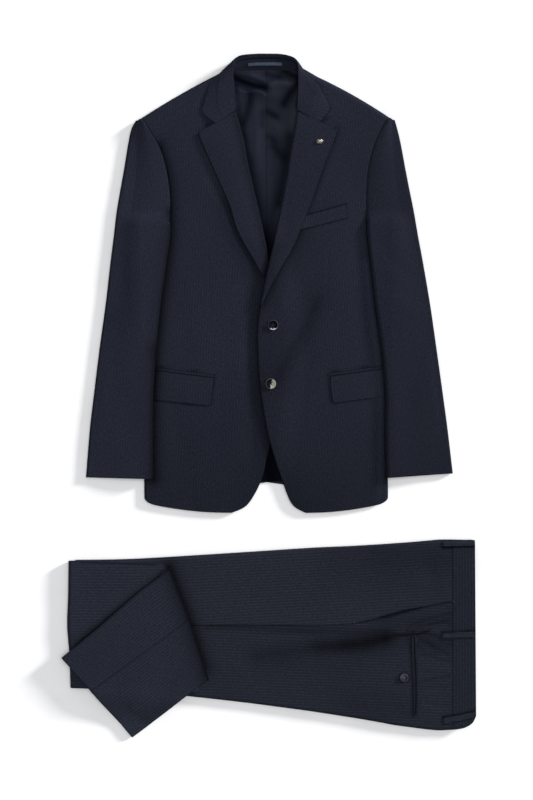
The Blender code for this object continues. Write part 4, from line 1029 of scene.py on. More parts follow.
class Signal:
    """A number, a colour or a place inside a shader. Arithmetic on it adds the nodes."""

    def __init__(self, socket):
        self.socket = socket
        self.tree = socket.id_data

    def through(self, kind, inputs, output=0, **settings):
        """The output of a new node in the same tree."""
        return Signal(add_node(self.tree, kind, inputs, **settings).outputs[output])

    def worked(self, operation, other=0.0):
        """One step of arithmetic with a number or another signal."""
        return self.through('ShaderNodeMath', {0: self, 1: other}, operation=operation)

    def __add__(self, other):
        return self.worked('ADD', other)

    def __sub__(self, other):
        return self.worked('SUBTRACT', other)

    def __mul__(self, other):
        return self.worked('MULTIPLY', other)

    def __truediv__(self, other):
        return self.worked('DIVIDE', other)

    def lacking(self):
        """What is left of 1."""
        return self.through('ShaderNodeMath', {0: 1.0, 1: self}, operation='SUBTRACT')

    def ranged(self, low, high, to_low=0.0, to_high=1.0, kind='SMOOTHSTEP'):
        """The number mapped from one range to another, in an S-curve unless kind says otherwise."""
        ends = {"Value": self, "From Min": low, "From Max": high, "To Min": to_low,
                "To Max": to_high}
        return self.through('ShaderNodeMapRange', ends, interpolation_type=kind)

    def mixed(self, first, second):
        """Two colours mixed, with the number as the second one's share."""
        return self.through('ShaderNodeMix', {0: self, 6: first, 7: second}, 2, data_type='RGBA')

    def shaded(self, light):
        """The colour multiplied by a number."""
        grey = self.through('ShaderNodeCombineXYZ', dict.fromkeys(range(3), light))
        return self.through('ShaderNodeMix', {0: 1.0, 6: self, 7: grey}, 2, data_type='RGBA',
                            blend_type='MULTIPLY')

    def parts(self):
        """The first two coordinates of the place."""
        split = add_node(self.tree, 'ShaderNodeSeparateXYZ', {0: self})
        return Signal(split.outputs[0]), Signal(split.outputs[1])

    def noise(self, stretch, detail=2.0, rough=0.5):
        """Noise read at the place, in cycles for each metre along each of its axes."""
        scaled = self.through('ShaderNodeVectorMath', {0: self, 1: stretch}, operation='MULTIPLY')
        inputs = {"Vector": scaled, "Scale": 1.0, "Detail": detail, "Roughness": rough}
        return self.through('ShaderNodeTexNoise', inputs, "Fac", noise_dimensions='3D')


def group_of(name, colours, numbers, outputs=("Height", "Roughness")):
    """A new shader node group with named sockets: its inputs as signals, and its end node."""
    tree = bpy.data.node_groups.new(name, 'ShaderNodeTree')
    given = {"Place": 'Vector', **dict.fromkeys(colours, 'Color'), **dict.fromkeys(numbers, 'Float')}
    result = {"Color": 'Color', **dict.fromkeys(outputs, 'Float')}
    for way, sockets in (('INPUT', given), ('OUTPUT', result)):
        for label, kind in sockets.items():
            tree.interface.new_socket(label, in_out=way, socket_type='NodeSocket' + kind)
    start = add_node(tree, 'NodeGroupInput')
    return {label: Signal(start.outputs[label]) for label in given}, add_node(tree, 'NodeGroupOutput')


# --- finishes ---------------------------------------------------------------------------------
def worsted_group(name):
    """Striped worsted: fine light hairlines on a flecked ground, over a twill of fine threads."""
    given, end = group_of(name, ("Ground", "Hairline", "Fleck"),
                          ("Pitch", "Stripe Strength", "Fleck Strength", "Painted Shading"))
    place = given["Place"]
    across, along = place.parts()
    from_line = ((across / given["Pitch"]).worked('FRACT') - 0.5).worked('ABSOLUTE')
    broken = place.noise((150.0, 130.0, 1.0)).ranged(0.3, 0.62, 0.45)
    hair = from_line.ranged(0.06, 0.26, 1.0, 0.0) * broken * given["Stripe Strength"]
    fleck = place.noise((640.0, 210.0, 1.0), 3.0, 0.62)
    flecks = fleck.ranged(0.42, 0.66) * given["Fleck Strength"]
    striped = hair.mixed(flecks.mixed(given["Ground"], given["Fleck"]), given["Hairline"])

    warps = place.noise((560.0, 200.0, 1.0), rough=0.6)
    wefts = place.noise((180.0, 600.0, 1.0), rough=0.6)
    slub = warps * 0.55 + wefts * 0.45
    cloud = place.noise((9.0, 6.0, 1.0)).ranged(0.3, 0.7, 0.95, 1.05, 'LINEAR')
    twill = ((across + along) * TWILL_LINES).worked('SINE')
    thread = twill * ((along * WEFT_LINES).worked('SINE') * 0.35 + 1.0)
    light = slub.ranged(0.36, 0.66, 0.74, 1.30, 'LINEAR') * cloud * (thread * 0.1 + 1.0)
    # the colour is darkened where shade is painted, and lightened where light is painted
    feed(end, {"Color": striped.shaded(light * given["Painted Shading"].lacking()),
               "Height": thread * 0.5 + slub * 0.8,
               "Roughness": fleck.ranged(0.3, 0.7, 0.72, 0.9, 'LINEAR')})
    return end.id_data


def satin_group(name):
    """Lining satin: fine threads of two tones, darkened where shade is painted, with a gloss that fades
    there too.
    """
    given, end = group_of(name, ("Ground", "Light"), ("Painted Shading",), ("Height", "Roughness", "Coat"))
    place = given["Place"]
    warp = place.noise((1500.0, 60.0, 1.0))
    threads = (warp + place.noise((60.0, 1800.0, 1.0))) * 0.5
    colour = threads.ranged(0.35, 0.65).mixed(given["Ground"], given["Light"])
    # what the painted shade leaves of the colour and of the gloss
    light = given["Painted Shading"].lacking()
    feed(end, {"Color": colour.shaded(light), "Height": threads, "Coat": light * light * SATIN_GLOSS,
               "Roughness": warp.ranged(0.3, 0.7, 0.6, 0.8, 'LINEAR')})
    return end.id_data


def veined_group(name):
    """Veined or brushed stock for small hard pieces: two tones in soft uneven veins."""
    given, end = group_of(name, ("Dark", "Light"), ("Vein Start", "Scale"))
    place = given["Place"].through('ShaderNodeVectorMath', {0: given["Place"], 3: given["Scale"]},
                                   operation='SCALE')
    grit = place.noise((9.0, 9.0, 9.0))
    start = given["Vein Start"]
    veins = place.noise((1.0, 1.7, 1.0), 4.0, 0.6).ranged(start, start + VEIN_WIDTH)
    feed(end, {"Color": veins.mixed(given["Dark"], given["Light"]), "Height": grit,
               "Roughness": grit.ranged(0.3, 0.7, 0.16, 0.3, 'LINEAR')})
    return end.id_data


def horn_group(name):
    """Polished horn on a disc of radius 1: a dark ground, a pale patch that paints both milky horn and a
    highlight, and a painted highlight along the rim.
    """
    given, end = group_of(name, ("Dark", "Pale", "Rim Highlight"),
                          ("Lean X", "Lean Y", "Patch Start", "Patch Inner Radius"))
    place = given["Place"]
    across, up = place.parts()
    reach = place.through('ShaderNodeVectorMath', {0: place}, "Value", operation='LENGTH')
    warp = place.noise((1.9, 1.9, 1.0), 3.0, 0.6)
    leaning = across * given["Lean X"] + up * given["Lean Y"] + (warp - 0.5) * 0.9
    patch = (leaning - given["Patch Start"]).ranged(0.0, 0.22)
    patch = patch * (reach - given["Patch Inner Radius"]).ranged(-0.08, 0.08)
    patch = patch * reach.ranged(0.84, 0.94, 1.0, 0.0)
    # a highlight painted as a light ring along the rim
    rim_highlight = reach.ranged(0.84, 0.89) * reach.ranged(0.92, 0.97, 1.0, 0.0) * RIM_HIGHLIGHT_STRENGTH
    horn_and_highlight = patch.mixed(given["Dark"], given["Pale"])
    feed(end, {"Color": rim_highlight.mixed(horn_and_highlight, given["Rim Highlight"]), "Height": warp,
               "Roughness": warp.ranged(0.3, 0.7, 0.2, 0.34, 'LINEAR')})
    return end.id_data


FINISHES = {"striped_worsted": worsted_group, "lining_satin": satin_group,
            "veined_stock": veined_group, "polished_horn": horn_group}


def finish_of(name, kind, values, bump, constants, from_object=False, turn=0.0):
    """A material that carries one node group's colour, roughness and height, read on the piece's
    grain map or in its own place."""
    made = bpy.data.materials.new(name)
    made.use_nodes = True
    tree = made.node_tree
    shader = tree.nodes["Principled BSDF"]
    feed(shader, constants)
    if from_object:
        source = Signal(add_node(tree, 'ShaderNodeTexCoord').outputs["Object"])
    else:
        source = Signal(add_node(tree, 'ShaderNodeUVMap', uv_map="grain").outputs[0])
    place = source.through('ShaderNodeMapping', {"Vector": source, "Rotation": (0.0, 0.0, turn)})
    group = bpy.data.node_groups.get(kind) or FINISHES[kind](kind)
    holder = add_node(tree, 'ShaderNodeGroup', node_tree=group)
    feed(holder, {"Place": place, **values})
    # shade painted on the piece, read from its attribute
    if "Painted Shading" in holder.inputs:
        shading_paint = add_node(tree, 'ShaderNodeAttribute', attribute_name="painted_shade_layer")
        feed(holder, {"Painted Shading": Signal(shading_paint.outputs["Fac"])})
    height = Signal(holder.outputs["Height"])
    relief = height.through('ShaderNodeBump', {"Strength": bump[0], "Distance": bump[1],
                                               "Height": height})
    feed(shader, {"Base Color": Signal(holder.outputs["Color"]), "Normal": relief,
                  "Roughness": Signal(holder.outputs["Roughness"])})
    if "Coat" in holder.outputs:
        feed(shader, {"Coat Weight": Signal(holder.outputs["Coat"])})
    return made


def colour_of(values):
    """A colour property as four numbers."""
    return (*values[:3], 1.0)


def worsted(name, pitch=None, painted_brightness=1.0, stripe=1.0, tint=(1.0, 1.0), **where):
    """The suit's cloth, as the settings give it, made lighter or darker as painted light and shade. tint
    multiplies its red and its blue.
    """
    given = bpy.context.scene.suit_cloth
    red, blue = tint
    values = {label: (value[0] * painted_brightness * red, value[1] * painted_brightness, value[2] * painted_brightness * blue, 1.0)
              for label, value in (("Ground", given.ground), ("Hairline", given.hairline),
                                   ("Fleck", given.fleck))}
    values.update({"Pitch": pitch or given.pitch, "Stripe Strength": given.stripe_strength * stripe,
                   "Fleck Strength": given.fleck_strength})
    constants = {"Specular IOR Level": 0.02, "Sheen Weight": given.sheen, "Sheen Roughness": 0.45,
                 "Sheen Tint": (0.6, 0.68, 1.0, 1.0)}
    return finish_of(name, "striped_worsted", values, (0.35, 0.0003), constants, **where)


def satin(name):
    """The jacket's lining."""
    given = bpy.context.scene.suit_lining
    values = {"Ground": colour_of(given.ground), "Light": colour_of(given.light)}
    constants = {"Specular IOR Level": 0.0, "Coat Roughness": 0.4, "Coat IOR": 1.5}
    return finish_of(name, "lining_satin", values, (0.2, 0.0002), constants)


def horn(name, dark):
    """A button's finish."""
    values = dict(HORN_FACES[name], Dark=dark)
    return finish_of("horn_" + name, "polished_horn", values, (0.05, 0.0001),
                     {"Specular IOR Level": 0.03})


def stock(name, dark, light, start, scale, bump, constants):
    """A small hard piece's finish."""
    values = {"Dark": colour_of(dark), "Light": colour_of(light), "Vein Start": start,
              "Scale": scale}
    return finish_of(name, "veined_stock", values, bump, constants, from_object=True)


def thread_stock(name, dark, light, start=0.45):
    """Sewing thread."""
    return stock(name, dark, light, start, 900.0, (0.5, 0.0002), {"Specular IOR Level": 0.2})


# --- settings ---------------------------------------------------------------------------------
def colour_setting(name, description, default):
    """A colour that a user may change."""
    return bpy.props.FloatVectorProperty(name=name, description=description, default=default,
                                         subtype='COLOR', size=3, min=0.0, max=1.0)


def number_setting(name, description, default, most=1.0, least=0.0, **kind):
    """A number that a user may change."""
    return bpy.props.FloatProperty(name=name, description=description, default=default, max=most,
                                   min=least, **kind)


def length_setting(name, description, default, most, least):
    """A length in metres that a user may change."""
    return number_setting(name, description, default, most, least, subtype='DISTANCE',
                          unit='LENGTH')


class SuitClothSettings(bpy.types.PropertyGroup):
    """The suit's striped worsted."""
    ground: colour_setting("Ground", "Colour of the cloth between its stripes",
                           (0.0123, 0.0154, 0.0246))
    hairline: colour_setting("Hairline", "Colour of the fine stripes", (0.0242, 0.0287, 0.0427))
    fleck: colour_setting("Fleck", "Colour of the flecks in the ground", (0.0214, 0.0199, 0.0319))
    pitch: length_setting("Stripe pitch", "Distance from one stripe to the next", 0.005, 0.05, 0.001)
    stripe_strength: number_setting("Stripe strength", "How far a stripe stands out", 0.42)
    fleck_strength: number_setting("Fleck strength", "How far the flecks stand out", 0.6)
    sheen: number_setting("Nap", "Soft light at the edges of the cloth's folds", 0.01)


class SuitLiningSettings(bpy.types.PropertyGroup):
    """The jacket's satin lining."""
    ground: colour_setting("Ground", "Colour of the lining in shade", (0.0064, 0.0084, 0.0160))
    light: colour_setting("Light threads", "Colour of its lighter threads",
                          (0.0110, 0.0142, 0.0264))


class SuitTrimSettings(bpy.types.PropertyGroup):
    """Buttons and hanger loop."""
    button_diameter: length_setting("Front button", "Diameter of a front button", 0.020, 0.03, 0.01)
    hip_button_diameter: length_setting("Hip button", "Diameter of the hip pocket's button", 0.016,
                                        0.03, 0.01)
    horn: colour_setting("Horn", "Dark ground of the buttons", (0.0026, 0.0028, 0.0052))
    tape: colour_setting("Tape", "Colour of the hanger loop", (0.026, 0.045, 0.085))


class SuitStageSettings(bpy.types.PropertyGroup):
    """Floor, light and camera."""
    lens: number_setting("Lens", "Focal length of the camera in millimetres", 85.0, 300.0, 20.0)
    frame_height: length_setting("Framed height", "Height of the floor that the picture shows",
                                 1.464, 5.0, 0.5)
    key_strength: number_setting("Key light", "Strength of the slanting light", 4.75, 20.0)
    key_height: number_setting("Key light height", "Angle of the slanting light above the floor",
                               math.radians(14.0), 1.57, 0.1, subtype='ANGLE', unit='ROTATION')
    top_strength: number_setting("Top light", "Strength of the wide light above", 1.28, 20.0)
    sky_strength: number_setting("Surround", "Strength of the even light all round", 0.37, 5.0)


# --- lines of the seams, along which shade is painted on their neighbours ---------------------
def ring_of(rows):
    """The outline of a small panel as a line."""
    left, right = column_line(rows, 0), column_line(rows, 2)
    return [*left, *reversed(right), left[0]]


def stand_line(level):
    """A line along the collar stand at a share of the way down it."""
    share = np.linspace(0, 1, 25)
    x, y, _ = stand_place(share, level + 0 * share)
    return list(zip(x, y))


def leaf_line(start, end):
    """Part of the collar leaf's outer edge as a line."""
    return [tuple(point[6:8]) for point in section(COLLAR_LEAF, np.linspace(start, end, 12))]


def front_edges(side):
    """How a front's edges sink: its free edge, its hem, and its side edge, which turns down to the
    armhole and is sewn from there up."""
    plain = soft_edges(FRONT_LENGTH, 1.0 * (side > 0), 0.9 * (side < 0), 1.0)
    (fall, run), (depth, width_in) = SIDE_FALL, SIDE_SEAM

    def sink(u, v, width):
        from_side = (u if side < 0 else 1 - u) * width
        turned = fall * edge_fall(from_side, run) * (1 - smooth(v, *FALL_END))
        seam = depth * edge_fall(from_side, width_in) * smooth(v, *SEAM_FROM)
        return np.maximum(plain(u, v, width), np.maximum(turned, seam))
    return sink


# --- jacket -----------------------------------------------------------------------------------
class SUIT_OT_body(bpy.types.Operator):
    """Cut and lay the back, the side panels and the two fronts"""
    bl_idname = "suit.body"
    bl_label = "Jacket body"

    def execute(self, context):
        right = worsted("worsted_right_front")
        left = worsted("worsted_left_front")
        back = worsted("worsted_back")
        for side, rows, middle in (("right", BACK_RIGHT, 0.71), ("left", BACK_LEFT, 0.29)):
            cloth("back_" + side, panel(rows, back_height, corner=(middle, NECK_CORNER)), (20, 60),
                  BACK_WALL, back, straight_grain(0.0), "floor", face_down=True)
        for column, side, sign in ((0, "right", -1), (1, "left", 1)):
            cloth("side_panel_" + side, side_place(column, sign), (60, 40), BACK_WALL, back,
                  wrapped_grain(0.0, 0.9), "back_" + side + "_cloth", "side_" + side,
                  face_down=sign > 0)
        overlap = column_line([row for row in FRONT_LEFT if row[1] < LAPEL_BREAK], 0)
        # Shade painted on each front beside its lapel, the lap, the sleeves, the collar, the flaps and the
        # jets, and towards the hem; light is painted beside the left sleeve.
        right_painted_shading = [
            (column_line(LAPEL_RIGHT, 0), 3.0, 0.2), (column_line(LAPEL_RIGHT[:5], 0), 16.0, 0.32),
            (LAPEL_SHADE, 42.0, 0.2), (overlap, 7.0, 0.35), (overlap[:6], 40.0, 0.26),
            (column_line(TOPSLEEVE_RIGHT[:11], 2), 12.0, 0.78), LOW_PAINTED_SHADE,
            (leaf_line(0.0, 0.3), 2.4, 0.1), (ring_of(FLAP_RIGHT), 1.6, 0.35),
            (((-113, 492), (-103, 490)), 7.0, 0.6),
            ((FLAP_RIGHT[0][2:], FLAP_RIGHT[-1][2:]), 1.8, 0.5), (row_line(JET_RIGHT[1]), 1.5, 0.6)]
        left_painted_shading = [
            (column_line(LAPEL_LEFT, 2), 6.0, 0.4), (column_line(LAPEL_LEFT[:5], 2), 18.0, 0.26),
            (column_line(TOPSLEEVE_LEFT[:8], 0), 4.0, 0.6), (SLEEVE_LIGHT, 8.0, -0.3),
            (leaf_line(0.7, 1.0), 2.4, 0.25), (((105, 505), (93, 497)), 3.5, 0.45),
            (ring_of(FLAP_LEFT), 1.3, 0.2), (row_line(BREAST_WELT[-1]), 2.0, 0.45),
            (row_line(JET_LEFT[1]), 1.5, 0.6), LOW_PAINTED_SHADE, (ring_of(BREAST_WELT), 1.9, 0.28),
            (DIAGONAL_CREASE_SHADE, 12.0, 0.2), (DIAGONAL_CREASE_SHADE, 30.0, 0.2), (overlap, 38.0, 0.2)]
        # the edge numbers are strengths of shade painted along each front's own edges
        for side, sign, rows, height, finish, under, edges, painted_shading in (
                ("right", -1, FRONT_RIGHT, front_height, right, "back_right_cloth",
                 (0.25, 0.4, 0.25, 0.2), right_painted_shading),
                ("left", 1, FRONT_LEFT, left_front_height, left, "front_right_cloth",
                 (0.5, 0.25, 0.25, 0.2), left_painted_shading)):
            place = panel(rows, height, FRONT_SAG, soft=front_edges(sign), bow=SHOULDER_BOW[sign],
                          round_side=sign)
            cloth("front_" + side, place, (110, 220), FRONT_WALL, finish,
                  straight_grain(FRONT_LEAN[side]), under, ease=(0.4, 0.25), edges=edges,
                  painted_shading=painted_shading)
        return {'FINISHED'}


class SUIT_OT_lapels(bpy.types.Operator):
    """Fold the lapels over the fronts"""
    bl_idname = "suit.lapels"
    bl_label = "Lapels"

    def execute(self, context):
        # shade painted along each lapel's own edges, beside the other lapel's roll and over its lower and
        # outer parts
        for side, rows, height, lean, edges, painted_shading in (
                ("right", LAPEL_RIGHT, front_height, 0.45, (0.4, 0.85, 0.3, 0.3),
                 [(column_line(LAPEL_LEFT[:5], 0), 7.0, 0.5),
                  (column_line(LAPEL_RIGHT, 2), 10.0, 0.5)]),
                ("left", LAPEL_LEFT, left_front_height, -0.32, (0.15, 0.45, 0.3, 0.35),
                 [([(-14, 165), (2, 222), (14, 268)], 22.0, 0.3),
                  ([(104, 420), (58, 300)], 34.0, 0.1)])):
            cloth("lapel_" + side, lapel_place(rows, height, side == "left"), (48, 120),
                  LAPEL_WALL * 0.7, worsted("worsted_" + side + "_lapel", stripe=1.25),
                  straight_grain(lean), "front_" + side + "_cloth", ease=(0.5, 0.4),
                  held="folded", edges=edges, painted_shading=painted_shading)
        return {'FINISHED'}


class SUIT_OT_collar(bpy.types.Operator):
    """Fold the collar leaf over, set its stand, and sew the hanger loop to it"""
    bl_idname = "suit.collar"
    bl_label = "Collar"

    def execute(self, context):
        # the leaf's colour is painted a little lighter and the stand's darker, as painted light and shade;
        # shade is also painted on the leaf's turns and below the stand's top band
        leaf = worsted("worsted_collar", pitch=0.0048, painted_brightness=1.1, stripe=1.4)
        cloth("collar_leaf", collar_place, (220, 40), COLLAR_WALL, leaf, cross_grain(),
              "front_left_cloth", held="folded", edges=(0.2, 0.2, 0.0, 0.4),
              painted_shading=[([(68, 590), (86, 558)], 13.0, 0.42),
                       ([(-84, 602), (-58, 616), (-18, 621)], 12.0, 0.3)])
        stand = worsted("worsted_stand", pitch=0.0048, painted_brightness=0.72)
        cloth("collar_stand", stand_place, (150, 40), STAND_WALL, stand, wrapped_grain(0.0),
              "lining_left_cloth", face_down=True, held="folded", edges=(0, 0, 0, 0.3),
              painted_shading=[(stand_line(0.22), 1.6, 0.25)])

        def loop_place(u, v):
            x, y, z = stand_place(0.382 + 0.206 * u, 0.66 - 0.19 * v)
            return x, y, z + 0.5 + TRIM_WALL + 0.8 * np.sin(np.pi * u)
        trims = context.scene.suit_trims
        tape = stock("loop_tape", [part * 0.8 for part in trims.tape], trims.tape, 0.42, 700.0,
                     (0.4, 0.0003), {"Specular IOR Level": 0.3})
        cloth("hanger_loop", loop_place, (24, 4), TRIM_WALL, tape, wrapped_grain(0.0),
              "collar_stand_cloth", slot="tape")
        return {'FINISHED'}


class SUIT_OT_lining(bpy.types.Operator):
    """Lay the back lining with its folds"""
    bl_idname = "suit.lining"
    bl_label = "Lining"

    def execute(self, context):
        finish = satin("lining_satin_cloth")
        # Shade painted on the lining beside the right lapel's roll, in its folds and, deepening to near
        # black, towards the bottom of the opening; light is painted beside the left lapel and on fold
        # ridges.
        shading_lines = [(column_line(LAPEL_RIGHT, 2), 9.0, 0.5), (column_line(LAPEL_LEFT, 0), 6.0, -0.3),
                 ([(-2, 262), (0, -160)], 70.0, 0.83), *LINING_FOLD_SHADING]
        for side, rows, height, edges in (
                ("right", LINING_RIGHT, lambda x, y: lining_height(x, y) - 0.25, (0, 0, 0, 0)),
                ("left", LINING_LEFT, lining_height, (0.3, 0, 0, 0))):
            cloth("back_lining_" + side, panel(rows, height), (48, 260), LINING_WALL, finish,
                  straight_grain(0.0), "back_" + side + "_cloth", "lining_" + side, slot="satin",
                  edges=edges, painted_shading=shading_lines)
        return {'FINISHED'}


class SUIT_OT_sleeves(bpy.types.Operator):
    """Set the two sleeves, each of an upper and an under piece"""
    bl_idname = "suit.sleeves"
    bl_label = "Sleeves"

    def execute(self, context):
        # Each sleeve's colour is painted lighter (right) or darker (left) as painted light and shade;
        # shade is painted along its edges and, on the left sleeve, towards the cuff, and the slope line
        # paints light on the right sleeve and shade on the left.
        for side, sign, column, rows, lean, depth, painted_brightness, low in (
                ("right", -1, 0, TOPSLEEVE_RIGHT, -0.143, 0.5, 1.04, 0.0),
                ("left", 1, 1, TOPSLEEVE_LEFT, 0.15, 0.0, 0.92, 0.2)):
            inner = column_line(rows, 1 - sign)
            outer = column_line(rows, 1 + sign)
            share = 0.85 if sign < 0 else 0.6
            between = [(x * share + other * (1 - share), y) for (x, y), (other, _) in zip(outer, inner)]
            slope_shading = (between[4:], 14.0, -0.08) if sign < 0 else (between, 30.0, 0.1)
            finish = worsted("worsted_sleeve_" + side, painted_brightness=painted_brightness)
            cloth("topsleeve_" + side, topsleeve_place(rows, sign, column), (110, 180),
                  SLEEVE_WALL, finish, wrapped_grain(lean, 0.4), "front_" + side + "_cloth",
                  face_down=sign < 0, ease=(0.2, 0.1), edges=(0.6 * (sign < 0), 0, 0.3, 0),
                  painted_shading=[(inner[:4], 15.0, depth), (inner[:8], 8.0, 0.1 + depth),
                           (inner[3:8], 14.0, depth * 0.5), (inner[7:], 6.0, 0.16), slope_shading,
                           (outer, 5.0, 0.25), (LOW_SHADE, 200.0, low)])
            cloth("undersleeve_" + side, undersleeve_place(rows, sign, column), (30, 60),
                  SLEEVE_WALL, finish, straight_grain(lean), "floor", face_down=True)
        return {'FINISHED'}


class SUIT_OT_pockets(bpy.types.Operator):
    """Sew on the pocket flaps with their jets, and the breast welt"""
    bl_idname = "suit.pockets"
    bl_label = "Jacket pockets"

    def execute(self, context):
        # shade painted along the flaps', jets' and welt's own edges, beside the sleeves and towards the
        # hem, with light painted beside the left sleeve
        soft = soft_edges(54.0, 1.0, 1.0, 1.1, run=2.2)
        right_shading_lines = [LOW_PAINTED_SHADE, (column_line(TOPSLEEVE_RIGHT, 2), 12.0, 0.9)]
        left_shading_lines = [LOW_PAINTED_SHADE, (column_line(TOPSLEEVE_LEFT, 0), 4.0, 0.6), (SLEEVE_LIGHT, 8.0, -0.3)]
        for side, height, flap, jet, far, near, shading_lines in (
                ("right", front_height, FLAP_RIGHT, JET_RIGHT, 0, 1, right_shading_lines),
                ("left", left_front_height, FLAP_LEFT, JET_LEFT, 1, 0, left_shading_lines)):
            sewn = {"finish": bpy.data.materials["worsted_" + side + "_front"],
                    "grain": straight_grain(FRONT_LEAN[side]),
                    "rests_on": "front_" + side + "_cloth", "painted_shading": shading_lines}
            cloth("pocket_flap_" + side, panel(flap, lapped(height, FLAP_WALL, 0.4), soft=soft),
                  (60, 36), FLAP_WALL, ease=(0.5, 0.5), edges=(0.25 * far, 0.7 * near, 0.15, 0.6),
                  **sewn)
            cloth("pocket_jet_" + side, panel(jet, lapped(height, TRIM_WALL, 0.3)), (40, 8),
                  TRIM_WALL, edges=(0, 0.3 * near, 0.1, 0.5), **sewn)
        place = panel(BREAST_WELT, lapped(left_front_height, FLAP_WALL, 0.2),
                      soft=soft_edges(26.0, 0, 0.5, 0.5, 0.7, 1.6))
        cloth("breast_welt", place, (50, 30), FLAP_WALL, bpy.data.materials["worsted_left_front"],
              straight_grain(FRONT_LEAN["left"]), "front_left_cloth", ease=(0.4, 0.6),
              edges=(0, 0.35, 0.1, 0.65))
        return {'FINISHED'}


# --- small hard pieces ------------------------------------------------------------------------
def turned_disc(diameter, height):
    """A turned button blank: dished middle, raised rim and a rounded edge, as a closed bmesh."""
    radius = diameter / 2
    profile = ((0, 0.56), (0.3, 0.57), (0.5, 0.62), (0.62, 0.74), (0.7, 0.9), (0.78, 0.98),
               (0.86, 1.0), (0.93, 0.95), (0.98, 0.82), (1.0, 0.62), (0.99, 0.42), (0.93, 0.2),
               (0.82, 0.04), (0.7, 0), (0, 0))
    turned = bmesh.new()
    points = [turned.verts.new((share * radius, 0, level * height)) for share, level in profile]
    edges = [turned.edges.new(pair) for pair in zip(points, points[1:])]
    bmesh.ops.spin(turned, geom=points + edges, axis=(0, 0, 1), cent=(0, 0, 0),
                   angle=2 * math.pi, steps=SPIN_STEPS, use_merge=True)
    bmesh.ops.remove_doubles(turned, verts=turned.verts, dist=0.00001)
    bmesh.ops.recalc_face_normals(turned, faces=turned.faces)
    return turned


def drilled(piece, centre, pitch, hole):
    """Drill a button's four holes."""
    pins = bmesh.new()
    for side_x in (-1, 1):
        for side_y in (-1, 1):
            spot = centre + Vector((side_x, side_y, 0)) * pitch / 2
            bmesh.ops.create_cone(pins, cap_ends=True, segments=20, radius1=hole / 2,
                                  radius2=hole / 2, depth=0.02, matrix=Matrix.Translation(spot))
    drill = placed("drill", pins)
    cut = piece.modifiers.new("holes", 'BOOLEAN')
    cut.object = drill
    cut.solver = 'EXACT'
    ready = piece.evaluated_get(bpy.context.evaluated_depsgraph_get())
    made = bpy.data.meshes.new_from_object(ready)
    piece.modifiers.clear()
    piece.data = made
    bpy.data.objects.remove(drill)


def strands(name, spots, height, thick, finish):
    """Sewing threads, each a low arch from one spot to another, in one piece, in metres."""
    built = bmesh.new()
    for start, end in spots:
        line = Vector(end) - Vector(start)
        middle = (Vector(start) + Vector(end)) / 2
        turn = Matrix.Rotation(math.atan2(line.y, line.x), 4, 'Z')
        made = bmesh.ops.create_uvsphere(built, u_segments=12, v_segments=8, radius=0.5)
        size = Matrix.Diagonal((line.length, thick, thick, 1.0))
        place = Matrix.Translation((middle.x, middle.y, height)) @ turn @ size
        bmesh.ops.transform(built, matrix=place, verts=made["verts"])
    for face in built.faces:
        face.smooth = True
    finished(name, built, finish, None)


def button(name, at, diameter, thickness, finish, thread):
    """A four-hole button sewn on with crossed threads, its face mapped in its own radius."""
    at = [part * MM for part in at]
    height = thickness * MM
    built = turned_disc(diameter, height)
    bmesh.ops.translate(built, vec=at, verts=built.verts)
    for face in built.faces:
        face.smooth = True
    piece = finished(name + "_disc", built, finish, name)
    pitch = diameter * BUTTON_PITCH
    drilled(piece, Vector(at), pitch, diameter * BUTTON_HOLE)
    layer = piece.data.uv_layers.new(name="grain")
    for loop in piece.data.loops:
        spot = piece.data.vertices[loop.vertex_index].co - Vector(at)
        layer.data[loop.index].uv = spot.xy / (diameter / 2)
    half = pitch / 2
    spots = [((at[0] - half, at[1] - half * way, 0), (at[0] + half, at[1] + half * way, 0))
             for way in (1, -1)]
    strands(name + "_thread", spots, at[2] + height * 0.6, diameter * BUTTON_THREAD, thread)


def buttonhole(name, x, y, length, height, thread):
    """Two corded lips of a buttonhole, with its slit between them."""
    run = Vector((length / 2, 0, 0))
    side = Vector((0, BUTTONHOLE_LIP * MM, 0))
    centre = Vector((x, y, 0)) * MM
    spots = [(centre + side * way - run * MM, centre + side * way + run * MM) for way in (-1, 1)]
    strands(name, spots, height * MM, CORD * MM, thread)


def lie_at(height, x, y):
    """Height of a surface at one point."""
    return float(height(np.array(x), np.array(y)))


